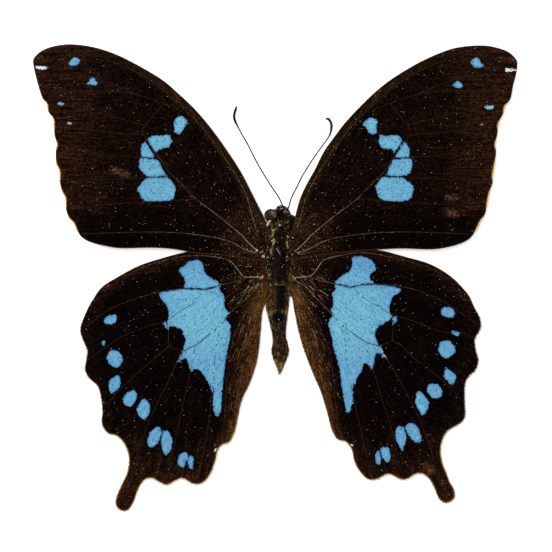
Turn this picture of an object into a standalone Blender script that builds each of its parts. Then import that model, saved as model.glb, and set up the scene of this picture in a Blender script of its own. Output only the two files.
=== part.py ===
"""A swallowtail butterfly, dried with its wings spread, lying belly down on a surface.

Metres, +Z up, +Y to the head, +X to the right as seen from above. The origin is on the surface,
under the middle of the wings' outline. Outlines below are in millimetres, read from above.
"""
import math

import bmesh
import bpy
from mathutils import Matrix, Vector
from mathutils.geometry import delaunay_2d_cdt

MM = 0.001

# Driving dimensions, in millimetres
WINGSPAN = 84.75
WING_THICKNESS = 0.2
VEIN_RISE = 0.12
VEIN_HALF_WIDTH = 0.3
VEIN_STEP = 3.2
MEMBRANE_STEP = 6.0
FORE_ROOT_HEIGHT = 4.65
FORE_ARCH = 0.75
HIND_ROOT_HEIGHT = 3.85
HIND_ARCH = 0.3
HIND_DROOP = 0.5
BODY_AXIS_X = 0.45
BODY_SIDES = 18
NECK = Vector((0.5, 9.55, 3.6))
HEAD_TURN = math.radians(-16)
HEAD_ROLL = math.radians(18)
EYE_RADIUS = 1.2
EYE_OFFSET = 1.86
EYE_FLAT = 1.08
HEAD_HALF_WIDTH = 1.07
ANTENNA_SHAFT = 0.11
ANTENNA_CLUB = 0.23
LEG_SIDES = 7

FORE_LEFT = [
    (-2.05, 9.0), (-2.6, 10.6), (-3.4, 12.8), (-4.4, 15.0), (-6.0, 18.1), (-8.0, 21.3), (-11.0, 25.55),
    (-14.0, 29.15), (-17.0, 32.05), (-20.0, 34.6), (-24.0, 37.0), (-28.0, 39.0), (-32.0, 40.3),
    (-36.0, 40.8), (-39.0, 40.45), (-41.0, 39.7), (-42.2, 38.7), (-42.6, 37.9), (-42.4, 36.5),
    (-42.0, 34.8), (-41.5, 33.0), (-40.9, 31.3), (-40.1, 30.4), (-39.9, 29.0), (-39.0, 27.8),
    (-38.9, 26.6), (-38.8, 24.8), (-38.35, 23.3), (-38.6, 22.0), (-38.5, 20.0), (-37.9, 18.6),
    (-37.85, 16.5), (-37.4, 14.9), (-36.85, 13.9), (-36.8, 12.0), (-36.3, 10.5), (-35.4, 9.5),
    (-34.8, 8.1), (-34.0, 7.0), (-32.6, 6.2), (-30.0, 5.5), (-27.0, 5.1), (-22.0, 5.2), (-18.0, 4.95),
    (-14.0, 4.25), (-10.0, 3.95), (-6.0, 3.4), (-3.0, 3.4), (-2.0, 4.4), (-1.95, 6.6),
]
FORE_RIGHT = [
    (3.05, 8.8), (3.4, 10.9), (4.1, 13.8), (5.3, 16.4), (6.7, 18.9), (8.2, 21.9), (9.8, 24.2),
    (12.0, 27.1), (15.0, 30.3), (18.0, 33.1), (21.0, 35.3), (25.0, 37.65), (29.0, 39.45), (32.0, 40.3),
    (35.5, 40.6), (38.0, 40.35), (40.5, 39.5), (41.9, 38.2), (42.15, 37.3), (41.9, 35.5), (41.4, 33.6),
    (40.9, 31.2), (39.9, 30.0), (39.6, 28.6), (38.75, 26.9), (38.65, 25.2), (38.2, 23.3), (38.4, 21.9),
    (38.1, 19.8), (37.75, 17.9), (37.8, 16.6), (37.2, 14.9), (36.85, 13.2), (36.5, 11.2), (35.6, 9.8),
    (34.8, 8.2), (33.9, 6.9), (32.4, 6.0), (30.0, 5.3), (27.0, 4.9), (22.0, 5.05), (18.5, 4.9),
    (15.0, 4.7), (11.0, 4.3), (7.0, 3.8), (3.9, 3.6), (3.0, 4.6), (2.95, 6.6),
]
HIND_LEFT = [
    (-2.35, 1.2), (-3.2, 2.6), (-5.5, 4.3), (-8.5, 5.2), (-12.0, 5.25), (-16.5, 4.35), (-20.0, 3.4),
    (-24.0, 2.1), (-28.0, 0.0), (-30.6, -1.7), (-32.2, -3.9), (-33.1, -5.5), (-34.1, -8.0), (-34.3, -9.6),
    (-33.7, -11.3), (-33.1, -12.8), (-33.3, -14.5), (-33.5, -16.2), (-32.7, -17.7), (-31.3, -19.0),
    (-30.7, -21.0), (-30.45, -23.4), (-30.55, -25.5), (-29.6, -27.2), (-27.8, -27.8), (-26.4, -29.5),
    (-25.8, -31.7), (-26.1, -34.1), (-27.1, -36.3), (-28.0, -38.4), (-28.1, -39.9), (-27.2, -40.8),
    (-26.0, -40.7), (-25.0, -39.2), (-24.2, -37.0), (-23.1, -35.4), (-21.8, -35.1), (-20.5, -35.8),
    (-19.2, -36.3), (-17.8, -35.6), (-16.4, -35.15), (-14.6, -36.1), (-13.0, -35.95), (-11.7, -34.5),
    (-10.8, -32.3), (-10.3, -30.2), (-9.4, -29.2), (-8.3, -28.8), (-7.4, -27.1), (-6.8, -24.5),
    (-6.1, -21.4), (-4.6, -18.2), (-3.5, -14.7), (-3.0, -11.5), (-2.7, -8.0), (-2.35, -5.6),
    (-2.25, -3.0), (-2.25, -0.8),
]
HIND_RIGHT = [
    (3.3, 1.3), (4.2, 2.7), (6.5, 4.3), (9.5, 5.0), (13.0, 5.2), (16.5, 5.0), (19.2, 4.55), (22.7, 3.6),
    (26.4, 2.55), (29.0, 1.25), (31.0, -0.2), (32.6, -1.8), (33.8, -3.3), (34.6, -5.1), (35.5, -6.8),
    (35.8, -8.3), (35.4, -9.5), (34.7, -10.8), (34.9, -12.8), (35.3, -14.6), (34.8, -16.2),
    (33.7, -17.2), (33.0, -18.6), (32.9, -21.0), (33.0, -23.8), (32.6, -25.1), (31.3, -26.0),
    (29.8, -27.0), (29.0, -28.6), (28.7, -30.5), (29.1, -32.7), (29.8, -34.4), (30.3, -35.8),
    (31.0, -37.0), (31.2, -38.4), (30.5, -39.2), (29.4, -39.45), (28.4, -38.6), (27.7, -36.9),
    (26.8, -35.3), (25.6, -34.35), (24.3, -34.4), (22.8, -35.3), (21.6, -35.25), (20.4, -34.6),
    (19.2, -34.45), (17.6, -35.3), (16.0, -35.3), (14.5, -33.8), (13.6, -32.0), (13.2, -30.1),
    (12.1, -28.7), (10.8, -28.4), (9.8, -26.9), (9.0, -24.0), (7.9, -20.3), (6.0, -15.7), (4.8, -12.5),
    (3.9, -9.3), (3.1, -5.8), (2.75, -3.6), (2.75, -1.2),
]

FORE_VEINS = [
    [(3.0, 8.9), (5.0, 13.9), (7.5, 18.6), (11.0, 23.6), (14.0, 27.4), (18.0, 31.3), (22.0, 34.3),
     (26.0, 36.6), (31.0, 38.8), (35.0, 39.9)],
    [(17.0, 29.9), (20.0, 30.5), (25.0, 32.3), (30.0, 34.2), (36.0, 36.2)],
    [(20.3, 30.2), (22.0, 28.0), (23.2, 25.6), (22.6, 23.7)],
    [(4.0, 5.4), (6.2, 7.5), (9.0, 9.8), (12.0, 12.1), (14.8, 14.3), (17.6, 17.3), (19.7, 19.5),
     (21.4, 22.0), (22.6, 23.7)],
    [(14.4, 13.9), (22.0, 13.3), (30.0, 12.8), (36.5, 12.4)],
    [(18.2, 17.7), (24.0, 17.4), (31.0, 17.1), (37.5, 16.9)],
    [(20.8, 20.9), (26.0, 21.2), (32.0, 21.6), (38.2, 21.8)],
    [(23.2, 25.0), (28.0, 25.4), (33.0, 25.8), (38.6, 26.1)],
    [(23.0, 26.8), (27.0, 27.8), (32.0, 28.8), (39.3, 29.1)],
    [(25.0, 32.5), (31.0, 32.5), (36.0, 32.3), (41.0, 32.2)],
    [(5.5, 5.0), (8.0, 6.3), (12.0, 7.2), (18.0, 7.9), (26.0, 7.8), (34.3, 7.6)],
]
HIND_VEINS_LEFT = [
    [(-3.0, 0.1), (-5.8, 0.1), (-7.4, 2.2), (-10.0, 3.4), (-16.0, 3.5), (-22.0, 2.0), (-27.5, -0.4)],
    [(-5.9, -0.2), (-9.5, -1.25), (-12.5, -2.1), (-17.0, -2.05), (-23.0, -3.2), (-29.0, -5.6), (-33.0, -8.6)],
    [(-12.6, -2.2), (-16.0, -5.3), (-19.1, -7.6), (-25.0, -9.4), (-29.5, -12.0), (-32.6, -14.6)],
    [(-19.1, -7.7), (-18.9, -12.0), (-16.3, -12.9)],
    [(-18.9, -12.1), (-22.5, -15.3), (-27.0, -19.2), (-29.9, -23.0)],
    [(-2.9, -1.6), (-8.3, -6.3), (-11.0, -9.3), (-14.0, -11.8), (-16.3, -12.9), (-19.3, -18.9),
     (-22.4, -25.4), (-24.3, -31.0), (-26.6, -39.2)],
    [(-14.2, -12.1), (-15.4, -18.0), (-17.0, -25.3), (-19.0, -35.0)],
    [(-10.2, -8.6), (-10.8, -14.0), (-11.7, -24.5), (-13.6, -34.8)],
]
HIND_VEINS_RIGHT = [
    [(3.6, 0.2), (6.1, 0.3), (7.7, 2.4), (9.6, 3.5), (15.8, 4.1), (22.0, 3.0), (28.1, 0.9)],
    [(6.2, 0.0), (10.1, -1.1), (13.2, -1.6), (18.0, -1.15), (24.1, -2.1), (30.0, -4.7), (34.6, -8.0)],
    [(13.4, -1.8), (16.6, -4.4), (20.2, -6.6), (25.8, -8.3), (30.4, -10.4), (33.9, -13.6)],
    [(20.2, -6.7), (20.3, -10.9), (18.1, -12.0)],
    [(20.4, -11.1), (24.1, -14.1), (28.1, -17.3), (32.2, -21.6)],
    [(3.6, -1.0), (8.0, -4.65), (11.5, -8.3), (15.6, -11.3), (18.1, -12.0), (21.2, -17.2), (23.4, -21.8),
     (25.5, -26.0), (27.2, -31.1), (29.4, -38.4)],
    [(16.0, -11.6), (17.4, -17.8), (19.1, -23.7), (21.9, -34.2)],
    [(11.0, -8.0), (12.2, -14.0), (13.7, -21.8), (15.2, -28.5), (16.6, -34.3)],
]

# Seen from above, the body's left and right edges, its lowest and highest points, front to back
THORAX_RINGS = [
    (9.52, -0.1, 0.95, 3.05, 4.15), (9.2, -0.5, 1.35, 2.6, 4.6), (8.4, -1.1, 1.8, 1.4, 5.4),
    (7.0, -1.45, 2.35, 0.2, 6.0), (5.4, -1.6, 2.5, -0.35, 6.35), (3.6, -1.62, 2.52, -0.45, 6.45),
    (1.8, -1.55, 2.45, -0.35, 6.3), (0.4, -1.4, 2.3, 0.1, 5.9), (-0.6, -1.1, 2.0, 0.9, 5.1),
    (-1.0, -0.6, 1.5, 1.8, 4.2),
]
ABDOMEN_RINGS = [
    (-1.3, -0.9, 1.6, 1.7, 4.2), (-1.9, -1.5, 2.05, 1.0, 4.8), (-3.6, -1.75, 2.15, 0.65, 4.9),
    (-5.3, -1.75, 2.0, 0.5, 4.6), (-7.0, -1.3, 1.8, 0.45, 4.2), (-8.6, -1.0, 1.62, 0.4, 3.75),
    (-10.0, -0.66, 1.55, 0.45, 3.35), (-11.2, -0.62, 1.85, 0.35, 3.2), (-12.4, -0.86, 2.15, 0.25, 3.1),
    (-13.4, -0.82, 2.05, 0.2, 2.9), (-14.4, -0.48, 1.65, 0.2, 2.5), (-15.4, -0.05, 1.28, 0.25, 1.95),
    (-16.3, 0.2, 0.97, 0.35, 1.4), (-16.85, 0.42, 0.68, 0.5, 0.95),
]
RING_GROOVE = 0.09

ANTENNA_LEFT = [(0.95, 12.15), (0.35, 14.1), (-1.0, 16.1), (-3.25, 19.8), (-5.1, 23.4), (-6.1, 25.1),
                (-7.0, 26.85), (-7.35, 28.3), (-7.0, 29.8)]
ANTENNA_RIGHT = [(1.75, 11.75), (2.15, 12.4), (2.6, 13.9), (3.6, 15.9), (4.6, 17.9), (6.1, 20.3),
                 (7.7, 22.6), (9.2, 24.7), (9.6, 26.2), (9.45, 27.2), (8.8, 27.75)]
ANTENNA_ROOT_HEIGHT = 4.15
ANTENNA_RISE = 1.7

# One side's folded legs, from the hip over the rounded knee to the toe, measured from the body's axis
LEGS = {
    "front": [(2.15, 7.0, 1.75), (2.5, 8.4, 1.75), (2.75, 9.45, 1.45), (2.8, 9.45, 0.95), (2.6, 8.4, 0.55),
              (2.3, 6.8, 0.3), (2.0, 5.2, 0.16)],
    "middle": [(2.45, 4.4, 1.6), (3.0, 5.4, 1.65), (3.5, 6.2, 1.4), (3.6, 6.2, 0.95), (3.5, 5.0, 0.55),
               (3.3, 2.8, 0.3), (3.0, 0.4, 0.16)],
    "hind": [(2.35, 1.7, 1.6), (2.6, 2.7, 1.6), (2.75, 3.4, 1.35), (2.75, 3.4, 0.95), (2.65, 2.2, 0.55),
             (2.4, 0.0, 0.3), (1.95, -2.3, 0.16)],
}
LEG_RADII = [0.2, 0.24, 0.24, 0.21, 0.17, 0.13, 0.1]
LEG_POINTS_PER_SPAN = 3

PALP_ROUTE = [(0.42, 1.6, -1.8), (0.45, 2.2, -1.65), (0.4, 2.62, -1.15), (0.34, 2.8, -0.5)]
PALP_RADII = [0.2, 0.27, 0.33, 0.34, 0.3, 0.22, 0.12]
COIL_CENTRE = (1.3, -2.35)
COIL_TURNS = 1.6
COIL_POINTS = 24
COIL_RADII = (0.95, 0.35)
TONGUE_RADII = (0.11, 0.06)

# The outlines' own middle, which the origin sits under
MIDDLE = Vector((
    (min(x for x, y in FORE_LEFT) + max(x for x, y in FORE_RIGHT)) / 2,
    (max(y for x, y in FORE_LEFT) + min(y for x, y in HIND_LEFT)) / 2,
    0,
))
SCALE = WINGSPAN / (max(x for x, y in FORE_RIGHT) - min(x for x, y in FORE_LEFT)) * MM


def clear_scene():
    for item in list(bpy.data.objects):
        bpy.data.objects.remove(item, do_unlink=True)


def material(name, colour, roughness):
    made = bpy.data.materials.new(name)
    made.use_nodes = True
    shader = made.node_tree.nodes["Principled BSDF"]
    shader.inputs["Base Color"].default_value = (*colour, 1)
    shader.inputs["Roughness"].default_value = roughness
    made.diffuse_color = (*colour, 1)
    return made


def finish(bm, name, surface, smooth_angle=40):
    """Turn a bmesh in outline millimetres into a named object, in metres, about the origin."""
    bmesh.ops.translate(bm, verts=bm.verts, vec=-MIDDLE)
    bmesh.ops.scale(bm, verts=bm.verts, vec=(SCALE, SCALE, MM))
    bmesh.ops.recalc_face_normals(bm, faces=bm.faces)
    mesh = bpy.data.meshes.new(name)
    bm.to_mesh(mesh)
    bm.free()
    if mesh.polygons:
        mesh.shade_smooth()
        mesh.set_sharp_from_angle(angle=math.radians(smooth_angle))
    mesh.materials.append(surface)
    made = bpy.data.objects.new(name, mesh)
    bpy.context.collection.objects.link(made)
    return made


def along(points, step):
    """Points about one step apart along a line through the given points, both ends included."""
    spots = [Vector(points[0])]
    for start, end in zip(points, points[1:]):
        start, end = Vector(start), Vector(end)
        count = max(1, round((end - start).length / step))
        spots += [start.lerp(end, k / count) for k in range(1, count + 1)]
    return spots


def smooth_path(points, per_span):
    """A Catmull-Rom curve through the points."""
    points = [Vector(p) for p in points]
    ends = [2 * points[0] - points[1], *points, 2 * points[-1] - points[-2]]
    path = []
    for a, b, c, d in zip(ends, ends[1:], ends[2:], ends[3:]):
        for k in range(per_span):
            t = k / per_span
            path.append(0.5 * (2 * b + (c - a) * t + (2 * a - 5 * b + 4 * c - d) * t * t
                               + (3 * b - a - 3 * c + d) * t ** 3))
    return [*path, points[-1]]


def gap_to_line(spot, line):
    """Distance from a flat point to a chain of straight runs."""
    best = math.inf
    for start, end in zip(line, line[1:]):
        run = end - start
        t = max(0.0, min(1.0, (spot - start).dot(run) / run.length_squared))
        best = min(best, (spot - start.lerp(end, t)).length)
    return best


def inside(spot, outline):
    """Whether a flat point lies within a closed outline."""
    crossings = 0
    for a, b in zip(outline, [*outline[1:], outline[0]]):
        if (a.y > spot.y) != (b.y > spot.y):
            crossings += spot.x < a.x + (spot.y - a.y) / (b.y - a.y) * (b.x - a.x)
    return crossings % 2 == 1


def fore_height(spot):
    """A forewing's middle surface: a low arch from root to tip."""
    reach = min(1.0, (spot - Vector((BODY_AXIS_X, 6.0))).length / 54)
    return FORE_ROOT_HEIGHT + FORE_ARCH * math.sin(math.pi * 0.85 * reach)


def hind_height(spot):
    """A hindwing's middle surface: a low arch that droops towards the body and the tail."""
    away = abs(spot.x - BODY_AXIS_X)
    arch = HIND_ARCH * math.sin(math.pi * min(1.0, away / 36))
    droop = HIND_DROOP * max(0.0, -spot.y / 40) ** 1.5
    fold = 0.9 * math.exp(-(away - 2.3) / 2.2) * min(1.0, max(0.0, (1 - spot.y) / 5))
    return HIND_ROOT_HEIGHT + arch - droop - fold


def wing(name, outline, veins, height, surface):
    """A thin closed sheet with the outline's edge and with its veins raised on both faces."""
    outline = [Vector(p) for p in outline]
    closed = [*outline, outline[0]]
    points = list(outline)
    edges = [(k, (k + 1) % len(outline)) for k in range(len(outline))]
    crests = []
    for vein in veins:
        crest = along(vein, VEIN_STEP)
        crests.append(crest)
        for k, spot in enumerate(crest):
            ahead = crest[min(k + 1, len(crest) - 1)] - crest[max(k - 1, 0)]
            side = Vector((-ahead.y, ahead.x)).normalized() * VEIN_HALF_WIDTH
            if k:
                edges.append((len(points) - 3, len(points)))
            points += [spot, spot + side, spot - side]
    lows = [min(p[axis] for p in outline) for axis in (0, 1)]
    highs = [max(p[axis] for p in outline) for axis in (0, 1)]
    for row in range(int((highs[1] - lows[1]) / MEMBRANE_STEP) + 1):
        for column in range(int((highs[0] - lows[0]) / MEMBRANE_STEP) + 1):
            across = lows[0] + (column + 0.5 * (row % 2)) * MEMBRANE_STEP
            spot = Vector((across, lows[1] + row * MEMBRANE_STEP))
            clear_of_veins = all(gap_to_line(spot, crest) > MEMBRANE_STEP / 3 for crest in crests)
            if inside(spot, outline) and gap_to_line(spot, closed) > MEMBRANE_STEP / 3 and clear_of_veins:
                points.append(spot)
    points = points[:len(outline)] + [p if inside(p, outline) else outline[0] for p in points[len(outline):]]
    flat, _, faces, _, _, _ = delaunay_2d_cdt(points, edges, [list(range(len(outline)))], 1, 1e-5)
    bm = bmesh.new()
    sheets = []
    for face_sign in (1, -1):
        sheet = []
        for spot in flat:
            on_vein = any(gap_to_line(spot, crest) < VEIN_HALF_WIDTH / 4 for crest in crests)
            on_edge = gap_to_line(spot, closed) < VEIN_HALF_WIDTH / 4
            rise = VEIN_RISE if on_vein and not on_edge else 0
            level = height(spot) + face_sign * (WING_THICKNESS / 2 + rise)
            sheet.append(bm.verts.new((spot.x, spot.y, level)))
        sheets.append(sheet)
    top, bottom = sheets
    rim = {}
    for a, b, c in faces:
        bm.faces.new((top[a], top[b], top[c]))
        bm.faces.new((bottom[c], bottom[b], bottom[a]))
        for start, end in ((a, b), (b, c), (c, a)):
            if (end, start) in rim:
                del rim[(end, start)]
            else:
                rim[(start, end)] = True
    for start, end in rim:
        bm.faces.new((top[end], top[start], bottom[start], bottom[end]))
    bmesh.ops.delete(bm, geom=[v for v in bm.verts if not v.link_faces], context="VERTS")
    return finish(bm, name, surface)


def ring_points(ring, sides):
    """An upright oval across the body, cut flat where it would pass below the surface."""
    y, left, right, low, high = ring
    middle_x, middle_z = (left + right) / 2, (low + high) / 2
    points = []
    for k in range(sides):
        angle = 2 * math.pi * (k + 0.5) / sides
        x = middle_x + (right - left) / 2 * math.cos(angle)
        z = middle_z + (high - low) / 2 * math.sin(angle)
        points.append((x, y, max(0.0, z)))
    return points


def lofted(name, rings, surface, sides=BODY_SIDES):
    """A closed body through a row of ovals, with domed ends."""
    bm = bmesh.new()
    loops = [[bm.verts.new(p) for p in ring_points(ring, sides)] for ring in rings]
    for near, far in zip(loops, loops[1:]):
        for k in range(sides):
            n = (k + 1) % sides
            bm.faces.new((near[k], near[n], far[n], far[k]))
    bm.faces.new(list(reversed(loops[0])))
    bm.faces.new(loops[-1])
    resting = [f for f in bm.faces if all(v.co.z < 1e-6 for v in f.verts)]
    if resting:
        bmesh.ops.dissolve_faces(bm, faces=resting, use_verts=True)
    return finish(bm, name, surface)


def grooved(rings):
    """The rings with a shallow groove between each two body segments."""
    full = []
    for near, far in zip(rings, rings[1:]):
        full.append(near)
        groove = [(a + b) / 2 for a, b in zip(near, far)]
        groove[1] += RING_GROOVE
        groove[2] -= RING_GROOVE
        groove[4] -= RING_GROOVE
        full.append(tuple(groove))
    return [*full, rings[-1]]


def tube(name, path, radii, surface, sides=6):
    """A closed round bar along a path, with a radius at each point."""
    bm = bmesh.new()
    loops = []
    normal = Vector((0, 0, 1))
    for k, spot in enumerate(path):
        ahead = (path[min(k + 1, len(path) - 1)] - path[max(k - 1, 0)]).normalized()
        normal = (normal - ahead * normal.dot(ahead)).normalized()
        across = ahead.cross(normal)
        turns = [2 * math.pi * n / sides for n in range(sides)]
        rim = [spot + radii[k] * (math.cos(t) * normal + math.sin(t) * across) for t in turns]
        loops.append([bm.verts.new(p) for p in rim])
    for near, far in zip(loops, loops[1:]):
        for k in range(sides):
            n = (k + 1) % sides
            bm.faces.new((near[k], near[n], far[n], far[k]))
    bm.faces.new(list(reversed(loops[0])))
    bm.faces.new(loops[-1])
    return finish(bm, name, surface)


def head_place():
    """The head's own frame: at the neck, turned to the right and rolled to show the left eye."""
    return Matrix.Translation(NECK) @ Matrix.Rotation(HEAD_TURN, 4, "Z") @ Matrix.Rotation(HEAD_ROLL, 4, "Y")


def egg(name, centre, sizes, surface, rings=9, sides=14, flat_side=0):
    """An ellipsoid in the head's frame; flat_side cuts it upright at EYE_FLAT, towards that side."""
    bm = bmesh.new()
    bmesh.ops.create_uvsphere(bm, u_segments=sides, v_segments=rings, radius=1)
    for vert in bm.verts:
        vert.co = Vector(c + v * s for c, v, s in zip(centre, vert.co, sizes))
    if flat_side:
        cut = bmesh.ops.bisect_plane(
            bm, geom=[*bm.verts, *bm.edges, *bm.faces], dist=1e-5,
            plane_co=(flat_side * EYE_FLAT, 0, 0), plane_no=(-flat_side, 0, 0), clear_outer=True)
        rim = [item for item in cut["geom_cut"] if isinstance(item, bmesh.types.BMEdge)]
        bmesh.ops.holes_fill(bm, edges=rim)
    bmesh.ops.transform(bm, matrix=head_place(), verts=bm.verts)
    return finish(bm, name, surface)


def build_head(hairy, glossy, dark):
    egg("head", (0, 1.3, 0.05), (HEAD_HALF_WIDTH, 1.3, 1.3), hairy, rings=10)
    for side, word in ((-1, "left"), (1, "right")):
        egg(f"eye_{word}", (side * EYE_OFFSET, 0.85, 0), (EYE_RADIUS, EYE_RADIUS, EYE_RADIUS), glossy,
            flat_side=side)
        route = [head_place() @ Vector((side * x, y, z)) for x, y, z in PALP_ROUTE]
        tube(f"palp_{word}", smooth_path(route, 2), PALP_RADII, hairy)
    coil, radii = [], []
    for k in range(COIL_POINTS + 1):
        share = k / COIL_POINTS
        turn = 2 * math.pi * COIL_TURNS * share
        reach = COIL_RADII[0] + (COIL_RADII[1] - COIL_RADII[0]) * share
        spot = Vector((0, COIL_CENTRE[0] + reach * math.cos(turn), COIL_CENTRE[1] + reach * math.sin(turn)))
        coil.append(head_place() @ spot)
        radii.append(TONGUE_RADII[0] + (TONGUE_RADII[1] - TONGUE_RADII[0]) * share)
    tube("proboscis", coil, radii, dark, sides=5)


def build_antennae(dark):
    for word, route in (("left", ANTENNA_LEFT), ("right", ANTENNA_RIGHT)):
        count = len(route) - 1
        lifted = [Vector((x, y, ANTENNA_ROOT_HEIGHT + ANTENNA_RISE * math.sin(math.pi * 0.6 * k / count)))
                  for k, (x, y) in enumerate(route)]
        path = smooth_path(lifted, 3)
        radii = []
        for k in range(len(path)):
            club = max(0.0, 1 - abs(k / (len(path) - 1) - 0.93) / 0.13)
            radii.append(ANTENNA_SHAFT + (ANTENNA_CLUB - ANTENNA_SHAFT) * math.sin(math.pi / 2 * club))
        radii[-1] = ANTENNA_SHAFT
        tube(f"antenna_{word}", path, radii, dark)


def build_legs(dark):
    for pair, joints in LEGS.items():
        for side, word in ((-1, "left"), (1, "right")):
            route = [Vector((BODY_AXIS_X + side * x, y, z)) for x, y, z in joints]
            path = smooth_path(route, LEG_POINTS_PER_SPAN)
            radii = []
            for near, far in zip(LEG_RADII, LEG_RADII[1:]):
                radii += [near + (far - near) * n / LEG_POINTS_PER_SPAN for n in range(LEG_POINTS_PER_SPAN)]
            tube(f"leg_{pair}_{word}", path, [*radii, LEG_RADII[-1]], dark, sides=LEG_SIDES)


def build_wings(scaled):
    mirrored = [[(-x, y) for x, y in vein] for vein in FORE_VEINS]
    wing("forewing_left", FORE_LEFT, mirrored, fore_height, scaled)
    wing("forewing_right", FORE_RIGHT, FORE_VEINS, fore_height, scaled)
    wing("hindwing_left", HIND_LEFT, HIND_VEINS_LEFT, hind_height, scaled)
    wing("hindwing_right", HIND_RIGHT, HIND_VEINS_RIGHT, hind_height, scaled)


def main():
    clear_scene()
    scaled = material("wing scales", (0.02, 0.012, 0.008), 0.7)
    hairy = material("body hair", (0.08, 0.055, 0.03), 0.9)
    glossy = material("eye", (0.09, 0.07, 0.06), 0.25)
    dark = material("dark chitin", (0.012, 0.01, 0.009), 0.45)
    build_wings(scaled)
    lofted("thorax", THORAX_RINGS, hairy)
    lofted("abdomen", grooved(ABDOMEN_RINGS), hairy)
    build_head(hairy, glossy, dark)
    build_antennae(dark)
    build_legs(dark)


main()
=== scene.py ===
# %% [markdown]
# # A swallowtail butterfly with spread wings
# The real object is one dried insect: four thin wings covered in tiny overlapping scales, a hairy body,
# two fine antennae and six folded legs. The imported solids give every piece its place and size. This
# script dresses each of them, in the order in which an eye takes the specimen in.

# %% Load the fixed frame
import math

import bmesh
import bpy
import numpy as np
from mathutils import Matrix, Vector, noise
from mathutils.geometry import delaunay_2d_cdt


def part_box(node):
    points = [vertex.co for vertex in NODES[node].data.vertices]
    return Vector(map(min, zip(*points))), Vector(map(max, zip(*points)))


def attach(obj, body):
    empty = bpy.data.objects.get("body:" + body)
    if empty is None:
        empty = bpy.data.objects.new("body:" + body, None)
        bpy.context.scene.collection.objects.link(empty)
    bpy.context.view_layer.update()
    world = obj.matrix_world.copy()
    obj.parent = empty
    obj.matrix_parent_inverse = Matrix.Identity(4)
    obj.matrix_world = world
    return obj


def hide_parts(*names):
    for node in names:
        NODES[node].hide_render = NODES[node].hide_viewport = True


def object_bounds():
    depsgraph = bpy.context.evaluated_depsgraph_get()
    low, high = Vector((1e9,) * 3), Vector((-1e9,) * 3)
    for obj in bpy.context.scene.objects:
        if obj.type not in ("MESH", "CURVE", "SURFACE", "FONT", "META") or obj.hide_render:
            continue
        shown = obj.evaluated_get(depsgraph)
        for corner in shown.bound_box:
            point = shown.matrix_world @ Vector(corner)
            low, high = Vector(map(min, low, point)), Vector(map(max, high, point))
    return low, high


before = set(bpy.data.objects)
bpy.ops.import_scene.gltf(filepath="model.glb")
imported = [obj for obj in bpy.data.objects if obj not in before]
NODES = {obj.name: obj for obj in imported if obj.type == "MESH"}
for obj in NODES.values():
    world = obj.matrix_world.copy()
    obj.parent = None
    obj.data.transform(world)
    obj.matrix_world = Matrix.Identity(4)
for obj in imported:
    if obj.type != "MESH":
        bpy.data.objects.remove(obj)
CAD_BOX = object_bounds()
MM = 0.001
print("frame:", len(NODES), "nodes,", [round(v / MM, 1) for v in CAD_BOX[1] - CAD_BOX[0]], "mm")

# %% [markdown]
# Everything below was measured on the insect as it lies, in millimetres from the middle of its picture.
# The frame's own origin is a hair to the left of that, so one shift ties the two together. It comes
# from the left wing tip, which both of them know.

# %% Tie the measurements to the frame
LEFT_TIP = -42.6
SHIFT = CAD_BOX[0].x / MM - LEFT_TIP
BODY_AXIS_X = 0.45
print("shift:", round(SHIFT, 3), "mm")


def in_frame(x, y, z):
    """A measured place, in millimetres, as a place in the frame, in metres."""
    return ((x + SHIFT) * MM, y * MM, z * MM)


# %% [markdown]
# A few small helpers carry the rest. Colours are written as sRGB hex, the way they would be picked from
# a screen, and Blender's shaders want them linear. One function adds any node, with its settings and
# the links that feed it, so a node tree reads from top to bottom like a recipe.

# %% Helpers for colours and nodes
def linear(hex_colour):
    """An sRGB hex colour as linear red, green, blue and alpha."""
    parts = [int(hex_colour[k:k + 2], 16) / 255 for k in (1, 3, 5)]
    return (*(c / 12.92 if c <= 0.04045 else ((c + 0.055) / 1.055) ** 2.4 for c in parts), 1.0)


def add_node(tree, kind, settings=None, links=None):
    """Add a node. Settings set its properties or socket values, links join other nodes to its sockets."""
    node = tree.nodes.new(kind)
    for key, value in (settings or {}).items():
        if isinstance(key, str) and hasattr(node, key):
            setattr(node, key, value)
        else:
            node.inputs[key].default_value = value
    for key, source in (links or {}).items():
        socket = source if isinstance(source, bpy.types.NodeSocket) else source.outputs[0]
        tree.links.new(socket, node.inputs[key])
    return node


def start_material(name):
    """A material with one Principled shader: the material, its tree and the shader."""
    made = bpy.data.materials.new(name)
    made.use_nodes = True
    made.node_tree.nodes.clear()
    shader = add_node(made.node_tree, "ShaderNodeBsdfPrincipled")
    add_node(made.node_tree, "ShaderNodeOutputMaterial", links={"Surface": shader})
    return made, made.node_tree, shader


def set_ramp(ramp, tones):
    """Put sRGB hex colours at their positions on a colour ramp, from 0 to 1."""
    stops = ramp.color_ramp.elements
    for position, colour in tones:
        stop = stops[-1 if position else 0] if position in (0, 1) else stops.new(position)
        stop.color = linear(colour)


def lay_over(tree, colour, layers):
    """Colours laid one over the other, each as strongly as its share says."""
    for share, layer in layers:
        fixed = isinstance(layer, str)
        settings = {"data_type": "RGBA", **({7: linear(layer)} if fixed else {})}
        links = {0: share, 6: colour, **({} if fixed else {7: layer})}
        colour = add_node(tree, "ShaderNodeMix", settings, links).outputs[2]
    return colour


def place_piece(made, stands_for=None):
    """Tie a finished piece to the body and, for a main piece, hide the node that it stands for."""
    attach(made, "root")
    if stands_for:
        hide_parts(stands_for)


print("middle grey in linear light:", [round(part, 3) for part in linear("#808080")[:3]])

# %% [markdown]
# ## Camera, floor and light
# The specimen is seen from straight above. A long lens a metre away keeps the wings free of perspective.
# The lamp hangs close to the lens, so that the wings' shadows fall behind them, and a weaker lamp
# from the upper left draws out veins and hair.

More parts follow.
